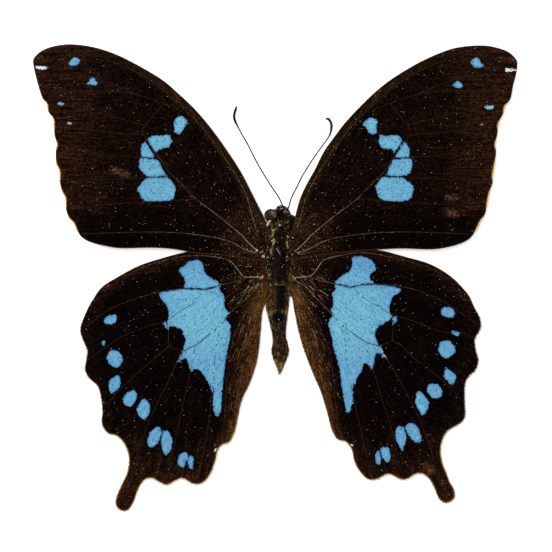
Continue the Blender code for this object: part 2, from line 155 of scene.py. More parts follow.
# %% Camera, straight down
VIEW_WIDTH = 96.6 * MM
VIEW_CENTRE = in_frame(-0.0875, 0.2625, 4.5)
CAMERA_RANGE = 1.0
SENSOR = 36.0

lens = bpy.data.cameras.new("camera_above")
lens.sensor_width = SENSOR
lens.lens = SENSOR * CAMERA_RANGE / VIEW_WIDTH
lens.clip_start = 0.01
camera = bpy.data.objects.new("camera_above", lens)
camera.location = (VIEW_CENTRE[0], VIEW_CENTRE[1], VIEW_CENTRE[2] + CAMERA_RANGE)
bpy.context.scene.collection.objects.link(camera)
bpy.context.scene.camera = camera
bpy.context.scene.view_settings.view_transform = "Standard"
print("camera lens:", round(lens.lens, 1), "mm")

# %% Floor and lamps
FLOOR_SIDE = 3.0


def add_floor():
    """A plain white board under the specimen."""
    mesh = bpy.data.meshes.new("floor")
    half = FLOOR_SIDE / 2
    corners = [(-half, -half, 0), (half, -half, 0), (half, half, 0), (-half, half, 0)]
    mesh.from_pydata(corners, [], [(0, 1, 2, 3)])
    board = bpy.data.objects.new("floor", mesh)
    bpy.context.scene.collection.objects.link(board)
    paint, _, shader = start_material("white card")
    shader.inputs["Base Color"].default_value = linear("#fbfbfa")
    shader.inputs["Roughness"].default_value = 0.9
    shader.inputs["Emission Color"].default_value = linear("#ffffff")
    shader.inputs["Emission Strength"].default_value = 0.45
    mesh.materials.append(paint)


def add_lamp(name, place, size, watts):
    """A square soft lamp that looks at the specimen."""
    light = bpy.data.lights.new(name, "AREA")
    light.size = size
    light.energy = watts
    lamp = bpy.data.objects.new(name, light)
    lamp.location = place
    lamp.rotation_euler = (-Vector(place)).to_track_quat("-Z", "Y").to_euler()
    bpy.context.scene.collection.objects.link(lamp)


add_floor()
add_lamp("lamp_above", (-0.05, 0.08, 1.4), 0.25, 12)
add_lamp("lamp_upper_left", (-0.7, 0.8, 0.75), 0.3, 6.4)
surround = bpy.data.worlds.new("surround")
surround.use_nodes = True
surround.node_tree.nodes["Background"].inputs["Color"].default_value = linear("#f4f6fa")
surround.node_tree.nodes["Background"].inputs["Strength"].default_value = 0.25
bpy.context.scene.world = surround

# %% [markdown]
# ## The wings' lines
# A wing's outline is taken from its node, so that the dressed wing has the frame's own edge. Veins are
# stiff tubes that carry the membrane. On the real wing they end on the margin's teeth, and the
# folds between them end in its notches. Each vein has a radius at its root and at its tip, and a tone
# from 0, dark, to 1, pale.

# %% Veins and folds of the forewings, as seen on the right
FORE_VEINS = {
    "radius": ([(3.6, 8.6), (4.2, 10.5), (5.0, 13.5), (6.0, 15.9), (7.6, 18.7), (9.0, 20.9), (11.0, 23.7),
        (12.5, 25.6), (14.0, 27.35), (16.0, 29.35), (18.0, 31.3), (20.0, 33.1), (22.0, 34.35), (24.0, 35.6),
        (26.5, 36.8), (29.0, 37.9), (32.0, 39.2), (35.0, 39.9)], 0.17, 0.07, 0.62),
    "radial_branch": ([(16.6, 29.0), (18.0, 29.8), (20.0, 30.45), (22.0, 31.2), (24.5, 32.0), (27.5, 33.3),
        (31.0, 34.6), (36.0, 36.0), (40.5, 36.8)], 0.1, 0.05, 0.35),
    "cross": ([(20.1, 30.1), (21.1, 28.8), (22.0, 27.7), (23.0, 26.5), (23.45, 25.7), (23.1, 24.9),
        (22.6, 23.9)], 0.06, 0.05, 0.38),
    "median": ([(3.2, 4.6), (4.2, 5.4), (5.2, 6.4), (6.2, 7.5), (8.0, 9.0), (10.0, 10.65), (12.0, 12.15),
        (14.0, 13.65), (15.5, 15.2), (17.3, 17.0), (19.0, 18.7), (20.3, 20.7), (21.4, 22.2), (22.6, 23.8)],
        0.2, 0.08, 0.85),
    "cubital_2": ([(14.2, 13.75), (18.0, 13.45), (22.0, 13.2), (27.0, 12.95), (31.1, 12.7), (36.5, 12.4)],
        0.09, 0.06, 0.25),
    "cubital_1": ([(18.3, 17.75), (22.5, 17.5), (28.0, 17.2), (33.0, 17.0), (37.6, 16.8)], 0.09, 0.06, 0.2),
    "media_3": ([(20.7, 20.9), (24.0, 21.0), (28.7, 21.4), (33.0, 21.6), (38.3, 21.75)], 0.09, 0.06, 0.2),
    "media_2": ([(23.2, 24.9), (27.0, 25.2), (31.4, 25.6), (35.0, 26.0), (38.6, 26.2)], 0.08, 0.05, 0.3),
    "media_1": ([(23.0, 26.6), (26.0, 27.4), (30.0, 28.5), (35.0, 29.1), (39.5, 29.2)], 0.08, 0.05, 0.35),
    "radial_5": ([(24.8, 32.1), (29.0, 32.6), (34.0, 32.5), (41.0, 32.3)], 0.06, 0.05, 0.35),
    "anal": ([(3.6, 4.3), (5.5, 4.9), (8.0, 6.2), (10.0, 6.85), (12.0, 7.2), (14.0, 7.5), (17.0, 7.8),
        (21.0, 7.95), (26.0, 7.9), (34.4, 7.6)], 0.17, 0.06, 0.75),
    "anal_short": ([(4.0, 4.1), (6.0, 4.5), (8.5, 4.6), (11.0, 4.5)], 0.09, 0.05, 0.55),
}
FORE_FOLDS = [
    [(30.0, 36.4), (36.0, 36.0), (41.6, 35.9)],
    [(32.0, 34.4), (36.0, 34.1), (41.4, 34.0)],
    [(29.0, 30.5), (35.0, 30.8), (39.9, 30.7)],
    [(28.0, 27.0), (34.0, 27.4), (38.7, 27.4)],
    [(26.0, 23.3), (32.0, 23.5), (38.1, 23.5)],
    [(24.5, 19.2), (30.0, 19.2), (37.7, 19.0)],
    [(24.0, 15.3), (30.0, 14.7), (36.7, 14.0)],
    [(20.0, 10.6), (28.0, 10.2), (35.4, 9.9)],
]
print("forewing veins:", len(FORE_VEINS), "folds:", len(FORE_FOLDS))

# %% Veins of the hindwings, each side as it lies
HIND_VEINS = {
    "left": {
        "subcosta": ([(-2.9, 0.1), (-4.3, 0.1), (-5.7, 0.1), (-6.4, 0.9), (-7.4, 2.2), (-8.3, 3.0),
            (-10.0, 3.45), (-13.0, 3.85), (-16.0, 3.75), (-18.0, 3.4), (-20.0, 2.9), (-22.0, 2.3),
            (-24.0, 1.5), (-26.0, 0.5), (-28.5, -0.7)], 0.2, 0.07, 0.9),
        "radial": ([(-5.8, -0.2), (-8.0, -0.9), (-9.5, -1.25), (-11.0, -1.7), (-12.5, -2.1), (-15.0, -1.95),
            (-17.0, -2.05), (-19.0, -2.3), (-22.0, -2.95), (-26.0, -4.2), (-29.8, -5.9), (-33.2, -8.6)],
            0.11, 0.06, 0.62),
        "media_1": ([(-12.6, -2.2), (-14.5, -4.4), (-16.0, -5.3), (-17.5, -6.3), (-19.3, -7.6),
            (-23.0, -8.7), (-27.0, -10.3), (-30.0, -12.3), (-33.0, -14.4)], 0.07, 0.06, 0.4),
        "cross": ([(-19.0, -7.6), (-18.95, -9.0), (-18.9, -10.5), (-18.9, -12.0), (-18.0, -12.4),
            (-16.3, -12.9)], 0.08, 0.08, 0.4),
        "media_2": ([(-18.9, -12.1), (-21.0, -13.9), (-24.5, -16.9), (-27.0, -19.2), (-30.3, -22.6)], 0.09,
            0.06, 0.4),
        "stem": ([(-2.6, -1.2), (-5.5, -3.9), (-8.3, -6.3), (-9.8, -8.3), (-12.0, -10.1), (-14.0, -11.7),
            (-16.3, -12.9)], 0.16, 0.1, 0.6),
        "media_3": ([(-16.5, -12.95), (-17.8, -15.6), (-19.3, -18.9), (-21.0, -22.2), (-22.4, -25.4),
            (-23.3, -28.0), (-24.2, -31.0), (-25.0, -34.0), (-26.9, -39.4)], 0.1, 0.07, 0.35),
        "cubital_1": ([(-14.3, -12.1), (-14.7, -15.0), (-15.4, -18.0), (-16.3, -22.0), (-17.3, -26.5),
            (-18.2, -31.0), (-19.2, -35.9)], 0.08, 0.06, 0.3),
        "cubital_2": ([(-10.2, -8.6), (-10.2, -10.0), (-10.8, -14.0), (-11.05, -18.0), (-11.5, -22.5),
            (-12.4, -28.5), (-13.8, -35.5)], 0.09, 0.06, 0.5),
        "anal": ([(-2.9, -2.4), (-4.6, -5.0), (-6.5, -8.2), (-7.9, -12.0), (-8.6, -17.0), (-9.0, -23.0),
            (-9.4, -28.4)], 0.13, 0.06, 0.6),
    },
    "right": {
        "subcosta": ([(3.3, 0.0), (4.8, 0.1), (6.1, 0.35), (7.0, 1.35), (7.65, 2.35), (8.4, 3.1),
            (10.0, 3.6), (13.5, 4.3), (15.8, 4.3), (17.8, 4.0), (19.7, 3.6), (22.0, 3.16), (24.3, 2.4),
            (26.6, 1.8), (29.0, 0.5)], 0.2, 0.07, 0.9),
        "radial": ([(6.1, 0.0), (8.0, -0.6), (10.0, -1.1), (11.65, -1.4), (13.2, -1.65), (15.0, -1.25),
            (17.0, -1.1), (19.5, -1.25), (22.7, -1.75), (25.0, -2.4), (28.6, -3.9), (32.0, -6.0),
            (35.4, -8.4)], 0.11, 0.06, 0.62),
        "media_1": ([(13.4, -1.9), (15.0, -3.3), (16.6, -4.4), (18.1, -5.1), (20.1, -6.5), (22.7, -7.2),
            (25.8, -8.3), (29.0, -9.5), (32.3, -9.6), (34.6, -10.6)], 0.07, 0.06, 0.4),
        "cross": ([(20.3, -6.7), (20.35, -8.0), (20.3, -10.3), (20.3, -11.0), (19.2, -11.5), (18.1, -12.0)],
            0.08, 0.08, 0.4),
        "media_2": ([(20.4, -11.1), (22.3, -12.3), (24.1, -14.1), (26.6, -16.0), (30.0, -18.9),
            (32.7, -21.8)], 0.09, 0.06, 0.4),
        "stem": ([(2.9, -0.3), (5.15, -1.65), (6.3, -3.0), (8.0, -4.65), (9.3, -6.0), (11.5, -8.3),
            (13.2, -9.6), (15.7, -11.3), (18.1, -12.0)], 0.18, 0.1, 0.8),
        "media_3": ([(18.1, -12.0), (19.1, -13.9), (20.6, -16.3), (22.6, -20.0), (24.4, -23.4),
            (25.5, -26.0), (26.8, -29.5), (27.7, -32.5), (29.6, -38.6)], 0.1, 0.07, 0.35),
        "cubital_1": ([(15.7, -11.5), (16.0, -13.1), (16.7, -15.4), (17.5, -18.0), (18.6, -21.8),
            (19.9, -25.5), (20.7, -29.0), (22.1, -35.1)], 0.08, 0.06, 0.3),
        "cubital_2": ([(10.9, -7.7), (11.6, -9.5), (12.15, -12.0), (12.3, -15.0), (13.1, -18.5),
            (13.9, -23.0), (15.2, -28.5), (16.6, -35.1)], 0.09, 0.06, 0.5),
        "anal": ([(3.6, -2.0), (4.7, -4.1), (6.3, -6.4), (8.2, -10.0), (9.5, -14.0), (10.1, -19.0),
            (10.6, -26.0)], 0.13, 0.06, 0.6),
    },
}
HIND_FOLDS = {
    "left": [
        [(-4.6, -6.5), (-6.0, -10.5), (-6.9, -15.0), (-7.5, -20.0), (-8.1, -25.0)],
        [(-5.4, -10.5), (-5.9, -14.0), (-6.9, -19.0), (-7.6, -24.5)],
        [(-7.3, -10.0), (-8.2, -15.0), (-8.6, -20.0)],
    ],
    "right": [
        [(5.3, -6.0), (6.9, -10.0), (8.1, -15.0), (8.9, -20.0), (9.7, -26.0)],
        [(5.9, -10.0), (6.8, -14.5), (8.0, -20.0)],
        [(8.6, -12.0), (9.4, -17.0), (10.1, -23.0)],
    ],
}
print("hindwing veins:", {side: len(veins) for side, veins in HIND_VEINS.items()})

# %% [markdown]
# ## The blue markings
# The markings are fields of blue scales among black ones. They have no height of their own, so they
# are drawn by colour, from listed outlines. The shader gets the distance to the nearest outline at
# each point of the mesh, and frays the edge by whole scales, as the real one is.

# %% Markings of the forewings
FORE_MARKS = {
    "left": [
        [(-42.35, 36.95), (-41.5, 37.0), (-40.6, 36.95), (-40.0, 36.7), (-40.5, 36.35), (-41.2, 36.35),
            (-42.0, 36.5), (-42.3, 36.65)],
        [(-36.5, 37.25), (-36.2, 37.8), (-35.7, 38.4), (-35.2, 38.6), (-34.7, 38.35), (-34.35, 38.1),
            (-34.4, 37.6), (-34.9, 37.1), (-35.7, 37.05)],
        [(-33.2, 33.9), (-32.7, 34.65), (-32.2, 34.95), (-31.6, 34.6), (-31.25, 34.0), (-31.6, 33.65),
            (-32.4, 33.65)],
        [(-38.5, 30.4), (-37.7, 30.75), (-37.0, 30.4), (-37.5, 30.05), (-38.2, 30.15)],
        [(-36.7, 27.0), (-36.3, 27.25), (-35.55, 26.95), (-36.2, 26.7)],
        [(-17.95, 27.2), (-17.5, 27.95), (-16.8, 28.25), (-16.0, 27.9), (-15.4, 27.15), (-15.8, 26.6),
            (-16.25, 26.0), (-16.5, 25.5), (-17.0, 25.1), (-17.8, 25.2), (-17.9, 26.0)],
        [(-22.6, 24.0), (-22.1, 24.7), (-21.0, 24.8), (-20.0, 24.9), (-19.3, 25.1), (-18.55, 24.9),
            (-18.35, 24.2), (-18.05, 23.85), (-18.5, 23.4), (-18.8, 22.75), (-19.5, 22.65), (-20.4, 22.35),
            (-21.0, 21.9), (-21.6, 22.4), (-22.1, 23.2)],
        [(-23.15, 23.8), (-22.8, 23.7), (-22.3, 22.85), (-21.7, 21.9), (-21.05, 20.95), (-22.3, 20.95),
            (-23.4, 21.1), (-23.9, 21.3), (-23.7, 21.8), (-23.8, 22.3), (-23.6, 23.2)],
        [(-23.7, 20.95), (-22.4, 20.8), (-21.0, 20.65), (-20.3, 20.0), (-19.9, 19.1), (-19.4, 18.2),
            (-19.1, 17.7), (-20.5, 17.7), (-22.5, 17.65), (-23.2, 18.1), (-24.0, 19.0), (-24.2, 19.4),
            (-24.0, 19.8), (-24.05, 20.3)],
        [(-22.6, 17.45), (-20.8, 17.5), (-19.0, 17.5), (-18.4, 17.0), (-17.8, 16.2), (-17.45, 15.5),
            (-17.75, 14.8), (-17.9, 14.0), (-18.4, 13.5), (-20.0, 13.3), (-21.8, 13.3), (-23.0, 13.4),
            (-23.8, 14.2), (-24.0, 14.8), (-24.4, 15.3), (-24.0, 16.1), (-23.4, 16.9)],
    ],
    "right": [
        [(39.75, 36.35), (40.3, 36.65), (41.2, 36.6), (42.5, 36.55), (42.5, 36.2), (41.0, 36.05),
            (40.2, 36.0)],
        [(34.0, 37.9), (34.5, 38.4), (35.2, 38.45), (35.7, 37.7), (36.2, 36.95), (35.9, 36.7),
            (35.0, 36.65), (34.3, 36.95), (34.0, 37.4)],
        [(30.7, 33.4), (31.2, 34.1), (31.8, 34.4), (32.4, 33.9), (32.6, 33.45), (32.1, 33.1), (31.3, 33.2)],
        [(36.4, 29.8), (36.8, 30.05), (37.7, 30.1), (38.2, 29.85), (37.6, 29.4), (36.8, 29.45)],
        [(35.45, 26.7), (35.9, 26.85), (36.25, 26.75), (35.8, 26.5)],
        [(15.1, 26.75), (15.6, 27.5), (16.3, 27.95), (17.2, 27.8), (17.8, 27.3), (17.5, 26.5), (17.6, 25.6),
            (17.75, 25.15), (16.8, 25.0), (16.1, 25.35), (15.6, 26.2)],
        [(17.8, 24.0), (18.1, 24.95), (18.8, 24.85), (19.6, 24.8), (20.6, 25.0), (21.4, 24.8), (22.0, 24.0),
            (21.5, 23.0), (20.9, 22.2), (20.5, 21.7), (20.2, 22.35), (19.3, 22.4), (18.5, 22.6),
            (17.95, 23.3)],
        [(22.5, 23.8), (22.1, 23.5), (21.6, 22.65), (21.1, 21.8), (20.7, 21.0), (21.8, 20.9), (22.8, 21.05),
            (23.4, 21.3), (23.35, 21.8), (23.2, 22.5), (22.85, 23.2)],
        [(20.6, 20.7), (21.6, 20.75), (22.8, 20.9), (23.6, 20.75), (23.8, 20.2), (23.7, 19.3), (23.4, 18.4),
            (22.6, 17.8), (21.0, 17.75), (19.2, 17.8), (19.3, 18.3), (19.7, 19.4), (20.1, 20.1)],
        [(18.6, 17.6), (20.5, 17.5), (22.0, 17.45), (22.9, 16.9), (23.7, 16.2), (24.1, 15.6), (23.9, 14.9),
            (23.6, 14.0), (22.9, 13.5), (22.0, 13.3), (20.0, 13.3), (18.4, 13.6), (17.8, 14.1),
            (17.6, 14.8), (17.25, 15.5), (17.4, 16.2), (18.0, 17.0)],
    ],
}
print("forewing markings:", {side: len(marks) for side, marks in FORE_MARKS.items()})

# %% Markings of the hindwings
HIND_MARKS = {
    "left": [
        [(-16.0, 2.1), (-15.6, 2.75), (-15.2, 3.0), (-14.7, 2.95), (-13.9, 3.15), (-13.2, 2.85),
            (-12.8, 2.2), (-12.75, 1.4), (-12.3, 0.7), (-11.4, 0.0), (-10.4, -0.65), (-9.6, -1.15),
            (-10.0, -1.4), (-11.2, -1.65), (-12.6, -2.0), (-14.0, -1.9), (-16.35, -1.75), (-16.0, -1.1),
            (-16.1, -0.3), (-16.6, 0.3), (-17.1, 1.1), (-16.8, 1.7)],
        [(-20.6, -2.8), (-20.0, -2.55), (-18.2, -2.2), (-16.0, -2.0), (-14.0, -2.05), (-12.5, -2.15),
            (-11.0, -1.75), (-10.0, -1.45), (-9.8, -2.4), (-9.3, -2.9), (-9.0, -3.8), (-9.1, -4.5),
            (-8.8, -5.5), (-8.3, -6.2), (-8.6, -6.9), (-8.85, -7.5), (-8.2, -7.95), (-8.0, -9.0),
            (-8.2, -11.0), (-8.6, -13.0), (-8.9, -15.0), (-9.15, -17.0), (-9.4, -19.0), (-9.55, -21.0),
            (-9.65, -23.0), (-9.9, -23.9), (-10.4, -24.4), (-10.8, -23.9), (-11.1, -23.0), (-11.15, -21.0),
            (-11.05, -19.2), (-11.35, -19.9), (-11.75, -18.9), (-12.3, -17.8), (-12.9, -17.0),
            (-13.6, -16.2), (-14.3, -16.0), (-14.8, -16.55), (-15.3, -15.7), (-15.5, -14.8), (-16.1, -14.2),
            (-16.7, -14.6), (-17.3, -15.0), (-17.0, -14.0), (-16.4, -13.1), (-16.3, -12.0), (-16.0, -11.0),
            (-16.4, -9.9), (-16.6, -9.2), (-17.5, -8.85), (-18.6, -8.6), (-19.0, -8.7), (-19.1, -7.7),
            (-18.9, -6.3), (-19.2, -5.0), (-19.9, -4.2), (-20.4, -3.4)],
        [(-20.1, -7.95), (-19.5, -7.65), (-19.2, -8.0), (-19.0, -8.8), (-19.3, -9.15), (-19.7, -8.4)],
        [(-30.3, -7.7), (-29.8, -6.9), (-29.0, -6.5), (-28.2, -6.45), (-27.85, -7.0), (-28.1, -7.8),
            (-29.0, -8.3), (-29.9, -8.15)],
        [(-30.6, -11.4), (-30.2, -11.0), (-29.95, -11.3), (-30.2, -11.9), (-30.5, -11.75)],
        [(-29.8, -13.9), (-29.4, -13.05), (-28.6, -12.6), (-27.7, -12.95), (-27.0, -13.7), (-26.85, -14.7),
            (-27.4, -15.5), (-28.2, -15.8), (-29.1, -15.3), (-29.65, -14.6)],
        [(-29.4, -18.6), (-29.1, -17.85), (-28.3, -17.25), (-27.7, -17.15), (-27.3, -18.0), (-27.4, -19.0),
            (-28.0, -19.8), (-28.9, -20.3), (-29.35, -19.7)],
        [(-27.0, -21.5), (-26.5, -20.5), (-25.6, -19.8), (-24.9, -19.65), (-24.35, -20.4), (-24.6, -21.5),
            (-25.2, -22.4), (-25.8, -22.7), (-26.6, -22.3)],
        [(-24.5, -23.0), (-24.0, -21.9), (-23.3, -21.2), (-22.7, -21.5), (-22.1, -22.4), (-22.2, -23.5),
            (-22.6, -24.4), (-23.1, -25.0), (-23.8, -24.5), (-24.3, -23.7)],
        [(-22.7, -29.0), (-22.4, -27.8), (-21.9, -26.75), (-21.0, -26.1), (-20.4, -26.3), (-20.15, -27.2),
            (-20.5, -28.5), (-21.0, -29.3), (-21.8, -29.8), (-22.4, -29.6)],
        [(-20.2, -28.9), (-20.0, -27.4), (-19.5, -26.8), (-18.8, -27.0), (-18.3, -28.0), (-18.2, -29.2),
            (-18.6, -30.4), (-19.4, -31.2), (-19.9, -30.5)],
        [(-17.3, -31.8), (-17.0, -30.95), (-16.3, -30.65), (-15.7, -30.6), (-15.5, -31.2), (-15.8, -32.3),
            (-16.3, -33.3), (-17.0, -33.2), (-17.3, -32.5)],
        [(-15.6, -32.5), (-15.4, -31.5), (-15.0, -31.0), (-14.5, -31.6), (-14.5, -32.6), (-14.8, -33.6),
            (-15.2, -33.6)],
        [(-11.0, -30.4), (-10.75, -29.85), (-10.35, -29.75), (-10.5, -30.3), (-10.8, -30.65)],
    ],
    "right": [
        [(13.15, 3.3), (13.6, 3.65), (14.2, 3.77), (15.1, 3.74), (15.8, 3.45), (16.6, 3.15), (17.1, 2.6),
            (17.25, 2.1), (17.6, 1.7), (17.3, 1.3), (16.8, 0.85), (16.4, 0.3), (16.5, -0.3), (17.05, -0.9),
            (16.1, -1.1), (15.0, -1.2), (14.0, -1.4), (13.2, -1.6), (12.0, -1.35), (10.6, -1.1),
            (10.05, -0.85), (10.5, -0.45), (11.3, 0.25), (12.2, 0.8), (12.8, 1.25), (13.15, 1.9)],
        [(10.05, -1.1), (11.6, -1.45), (13.15, -1.78), (14.5, -1.4), (16.5, -1.22), (18.7, -1.32),
            (20.6, -1.6), (21.6, -1.9), (21.85, -2.15), (21.5, -2.75), (20.8, -3.13), (20.35, -3.6),
            (20.05, -4.3), (19.8, -5.2), (19.9, -6.0), (20.2, -6.7), (19.9, -7.5), (19.2, -7.8),
            (18.4, -8.35), (17.95, -8.2), (17.8, -8.8), (17.3, -9.5), (17.4, -10.4), (17.7, -11.1),
            (17.95, -11.8), (18.4, -12.5), (18.85, -13.4), (19.05, -14.0), (18.7, -14.2), (18.2, -13.55),
            (17.55, -13.25), (17.25, -14.0), (17.15, -14.9), (16.85, -15.6), (16.6, -16.2), (16.3, -15.6),
            (15.8, -15.25), (15.4, -15.1), (15.15, -15.7), (14.9, -16.5), (14.3, -17.2), (14.0, -18.3),
            (13.6, -18.95), (13.4, -19.3), (13.1, -18.7), (13.3, -20.3), (13.45, -21.8), (13.1, -22.8),
            (13.0, -23.5), (12.5, -23.7), (12.15, -23.5), (11.95, -22.3), (11.65, -20.7), (11.3, -18.4),
            (10.95, -15.9), (10.45, -14.0), (9.95, -12.3), (9.65, -10.7), (9.35, -9.3), (9.05, -8.0),
            (9.3, -7.2), (9.9, -6.7), (9.45, -5.8), (9.85, -4.8), (9.9, -3.7), (9.7, -2.7), (10.3, -1.9)],
        [(20.35, -6.95), (20.9, -6.8), (21.25, -7.1), (21.1, -7.65), (20.5, -8.2), (20.35, -7.6)],
        [(18.45, -12.25), (18.7, -12.25), (18.75, -12.55), (18.5, -12.55)],
        [(28.75, -5.7), (29.3, -5.15), (30.2, -5.1), (30.8, -5.5), (31.3, -6.0), (31.3, -6.6), (30.6, -7.1),
            (29.7, -6.95), (28.95, -6.6)],
        [(30.6, -9.6), (30.9, -9.25), (31.5, -9.42), (32.0, -9.6), (32.05, -10.05), (31.5, -10.3),
            (30.9, -10.0)],
        [(29.4, -11.0), (30.3, -11.05), (30.9, -11.7), (31.3, -12.4), (31.25, -13.25), (30.4, -13.95),
            (30.2, -14.25), (29.3, -14.15), (28.6, -13.4), (28.3, -12.5), (28.6, -11.5)],
        [(29.6, -15.7), (30.2, -16.05), (31.0, -16.7), (31.45, -17.3), (31.2, -18.4), (30.7, -18.8),
            (30.1, -18.45), (29.5, -17.7), (29.2, -17.1), (29.4, -16.3)],
        [(26.85, -18.3), (27.2, -18.55), (28.2, -18.7), (28.8, -19.3), (29.1, -20.1), (28.8, -20.9),
            (28.0, -21.35), (27.2, -21.0), (26.5, -20.2), (26.35, -19.5), (26.6, -18.8)],
        [(24.6, -20.1), (25.0, -19.9), (25.7, -20.4), (26.3, -21.1), (26.7, -22.0), (26.5, -23.0),
            (26.0, -23.8), (25.5, -24.2), (24.9, -23.4), (24.35, -22.3), (24.3, -21.1)],
        [(22.5, -26.0), (23.1, -25.55), (24.0, -25.55), (24.7, -26.2), (25.15, -27.1), (25.4, -28.1),
            (25.2, -28.85), (24.5, -28.95), (23.7, -28.4), (23.0, -27.4), (22.6, -26.6)],
        [(21.2, -26.1), (21.7, -25.9), (22.3, -26.25), (22.7, -27.1), (22.8, -28.3), (22.4, -29.4),
            (22.0, -30.4), (21.6, -29.9), (21.0, -28.5), (20.75, -27.3), (20.9, -26.5)],
        [(18.2, -29.9), (18.5, -29.5), (19.0, -29.75), (19.6, -29.7), (19.85, -30.6), (20.0, -31.6),
            (19.7, -32.3), (19.1, -32.3), (18.5, -31.5), (18.2, -30.6)],
        [(17.8, -30.25), (18.15, -30.9), (18.35, -31.8), (18.1, -32.75), (17.6, -32.75), (17.25, -31.8),
            (17.4, -30.7)],
        [(13.05, -29.15), (13.35, -29.2), (13.55, -29.6), (13.3, -29.7), (13.0, -29.35)],
    ],
}
print("hindwing markings:", {side: len(marks) for side, marks in HIND_MARKS.items()})

# %% Every wing's lines under the wing's own name
SIGNS = {"left": -1, "right": 1}
WINGS = [f"{pair}_{side}" for side in SIGNS for pair in ("forewing", "hindwing")]


def on_side(line, sign):
    """A line of a right wing as it runs on the given side."""
    return [(sign * x, y) for x, y in line]


VEINS = {f"hindwing_{side}": veins for side, veins in HIND_VEINS.items()}
FOLDS = {f"hindwing_{side}": folds for side, folds in HIND_FOLDS.items()}
MARKS = {f"hindwing_{side}": marks for side, marks in HIND_MARKS.items()}
for side, sign in SIGNS.items():
    wing = f"forewing_{side}"
    VEINS[wing] = {name: (on_side(line, sign), *facts) for name, (line, *facts) in FORE_VEINS.items()}
    FOLDS[wing] = [on_side(line, sign) for line in FORE_FOLDS]
    MARKS[wing] = FORE_MARKS[side]
print("wings:", WINGS)

# %% [markdown]
# ## Measuring on a wing
# Each wing needs the same few measures at thousands of points: how far the nearest vein, fold, edge
# or marking is, and whether a point lies inside an outline. Written for whole arrays of points, they
# take moments.

# %% Curves and distances
CURVE_STEPS = 10
FAR = 9.0


def smooth_line(points, step, closed=False):
    """Evenly spaced points, about a step apart, on a smooth curve through the given ones."""
    given = np.array(points, float)
    if closed:
        ends = np.vstack([given[-1:], given, given[:2]])
    else:
        ends = np.vstack([2 * given[0] - given[1], given, 2 * given[-1] - given[-2]])
    t = np.linspace(0, 1, CURVE_STEPS, endpoint=False)[:, None]
    spans = [0.5 * (2 * b + (c - a) * t + (2 * a - 5 * b + 4 * c - d) * t ** 2
                    + (3 * b - a - 3 * c + d) * t ** 3)
             for a, b, c, d in zip(ends, ends[1:], ends[2:], ends[3:])]
    fine = np.vstack([*spans, ends[-2:-1]])
    travelled = np.concatenate([[0], np.cumsum(np.linalg.norm(np.diff(fine, axis=0), axis=1))])
    count = max(3 if closed else 1, round(travelled[-1] / step))
    stops = np.linspace(0, travelled[-1], count + 1)
    even = np.stack([np.interp(stops, travelled, fine[:, axis]) for axis in range(fine.shape[1])], axis=1)
    return even[:-1] if closed else even


def gap_to(spots, line):
    """How far each flat spot is from a chain of straight runs."""
    best = np.full(len(spots), 99.0)
    for start, end in zip(line[:-1], line[1:]):
        run = end - start
        share = np.clip((spots - start) @ run / max(run @ run, 1e-12), 0, 1)
        best = np.minimum(best, np.hypot(*(spots - start - share[:, None] * run).T))
    return best


def is_inside(spots, ring):
    """Whether each flat spot lies within a closed ring."""
    crossings = np.zeros(len(spots), int)
    for (ax, ay), (bx, by) in zip(ring, np.roll(ring, -1, axis=0)):
        spans = (ay > spots[:, 1]) != (by > spots[:, 1])
        at = ax + (spots[:, 1] - ay) / (by - ay if by != ay else 1e-9) * (bx - ax)
        crossings += spans & (spots[:, 0] < at)
    return crossings % 2 == 1


def close(ring):
    """A ring with its first point repeated at its end."""
    return np.vstack([ring, ring[:1]])


def ease(values, low, high):
    """A smooth step from 0 at low to 1 at high, or back where low is above high."""
    t = np.clip((values - low) / (high - low), 0, 1)
    return t * t * (3 - 2 * t)


def rim_of(node):
    """A wing node's outline from above, in measured millimetres, anticlockwise."""
    bm = bmesh.new()
    bm.from_mesh(NODES[node].data)
    bmesh.ops.remove_doubles(bm, verts=bm.verts, dist=1e-6)
    bm.normal_update()
    ahead = {}
    for edge in bm.edges:
        tops = [loop for loop in edge.link_loops if loop.face.normal.z > 0.5]
        walls = [face for face in edge.link_faces if abs(face.normal.z) < 0.3]
        if tops and walls:
            ahead[tops[0].vert] = tops[0].link_loop_next.vert
    order = [next(iter(ahead))]
    while ahead[order[-1]] != order[0]:
        order.append(ahead[order[-1]])
    ring = np.array([(v.co.x / MM - SHIFT, v.co.y / MM) for v in order])
    bm.free()
    return ring


def tucked(ring, wing):
    """The outline with its root drawn in under the body's fur, where the solid stops short of the body."""
    pair, side = wing.split("_")
    sign = SIGNS[side]
    x, y = sign * (ring[:, 0] - BODY_AXIS_X), ring[:, 1]
    near = ease(x, 4.4, 2.9)
    if pair == "forewing":
        lead = (0.45 if side == "left" else 0.1) * ease(y, 14.0, 10.0) * ease(x, 7.0, 5.0) * (y > 8)
        inward = np.maximum(0.9 * near * ease(y, 9.2, 7.4), lead)
        return ring - np.stack([sign * inward, 0.5 * near * ease(y, 5.0, 4.0)], axis=1)
    apex = -5.5 if side == "left" else -3.6
    along = ease(y, apex - 0.2, apex + 1.6)
    lift = 1.2 * ease(np.hypot(x - 3.2, y - 2.0), 2.2, 0.8)
    return ring + np.stack([-sign * 1.1 * near * along, lift], axis=1)


RIMS = {wing: tucked(rim_of(wing), wing) for wing in WINGS}
print("rim points:", {name: len(ring) for name, ring in RIMS.items()})


# %% [markdown]
# ## The wing sheets
# A wing is a membrane a tenth of a millimetre thick. A flat filled outline would look like a cut-out, so
# each sheet has a top and an underside, the low arch of its solid, valleys along the folds, ridges
# over the veins and a slight waviness. Extra rows of points along veins and markings keep both crisp.

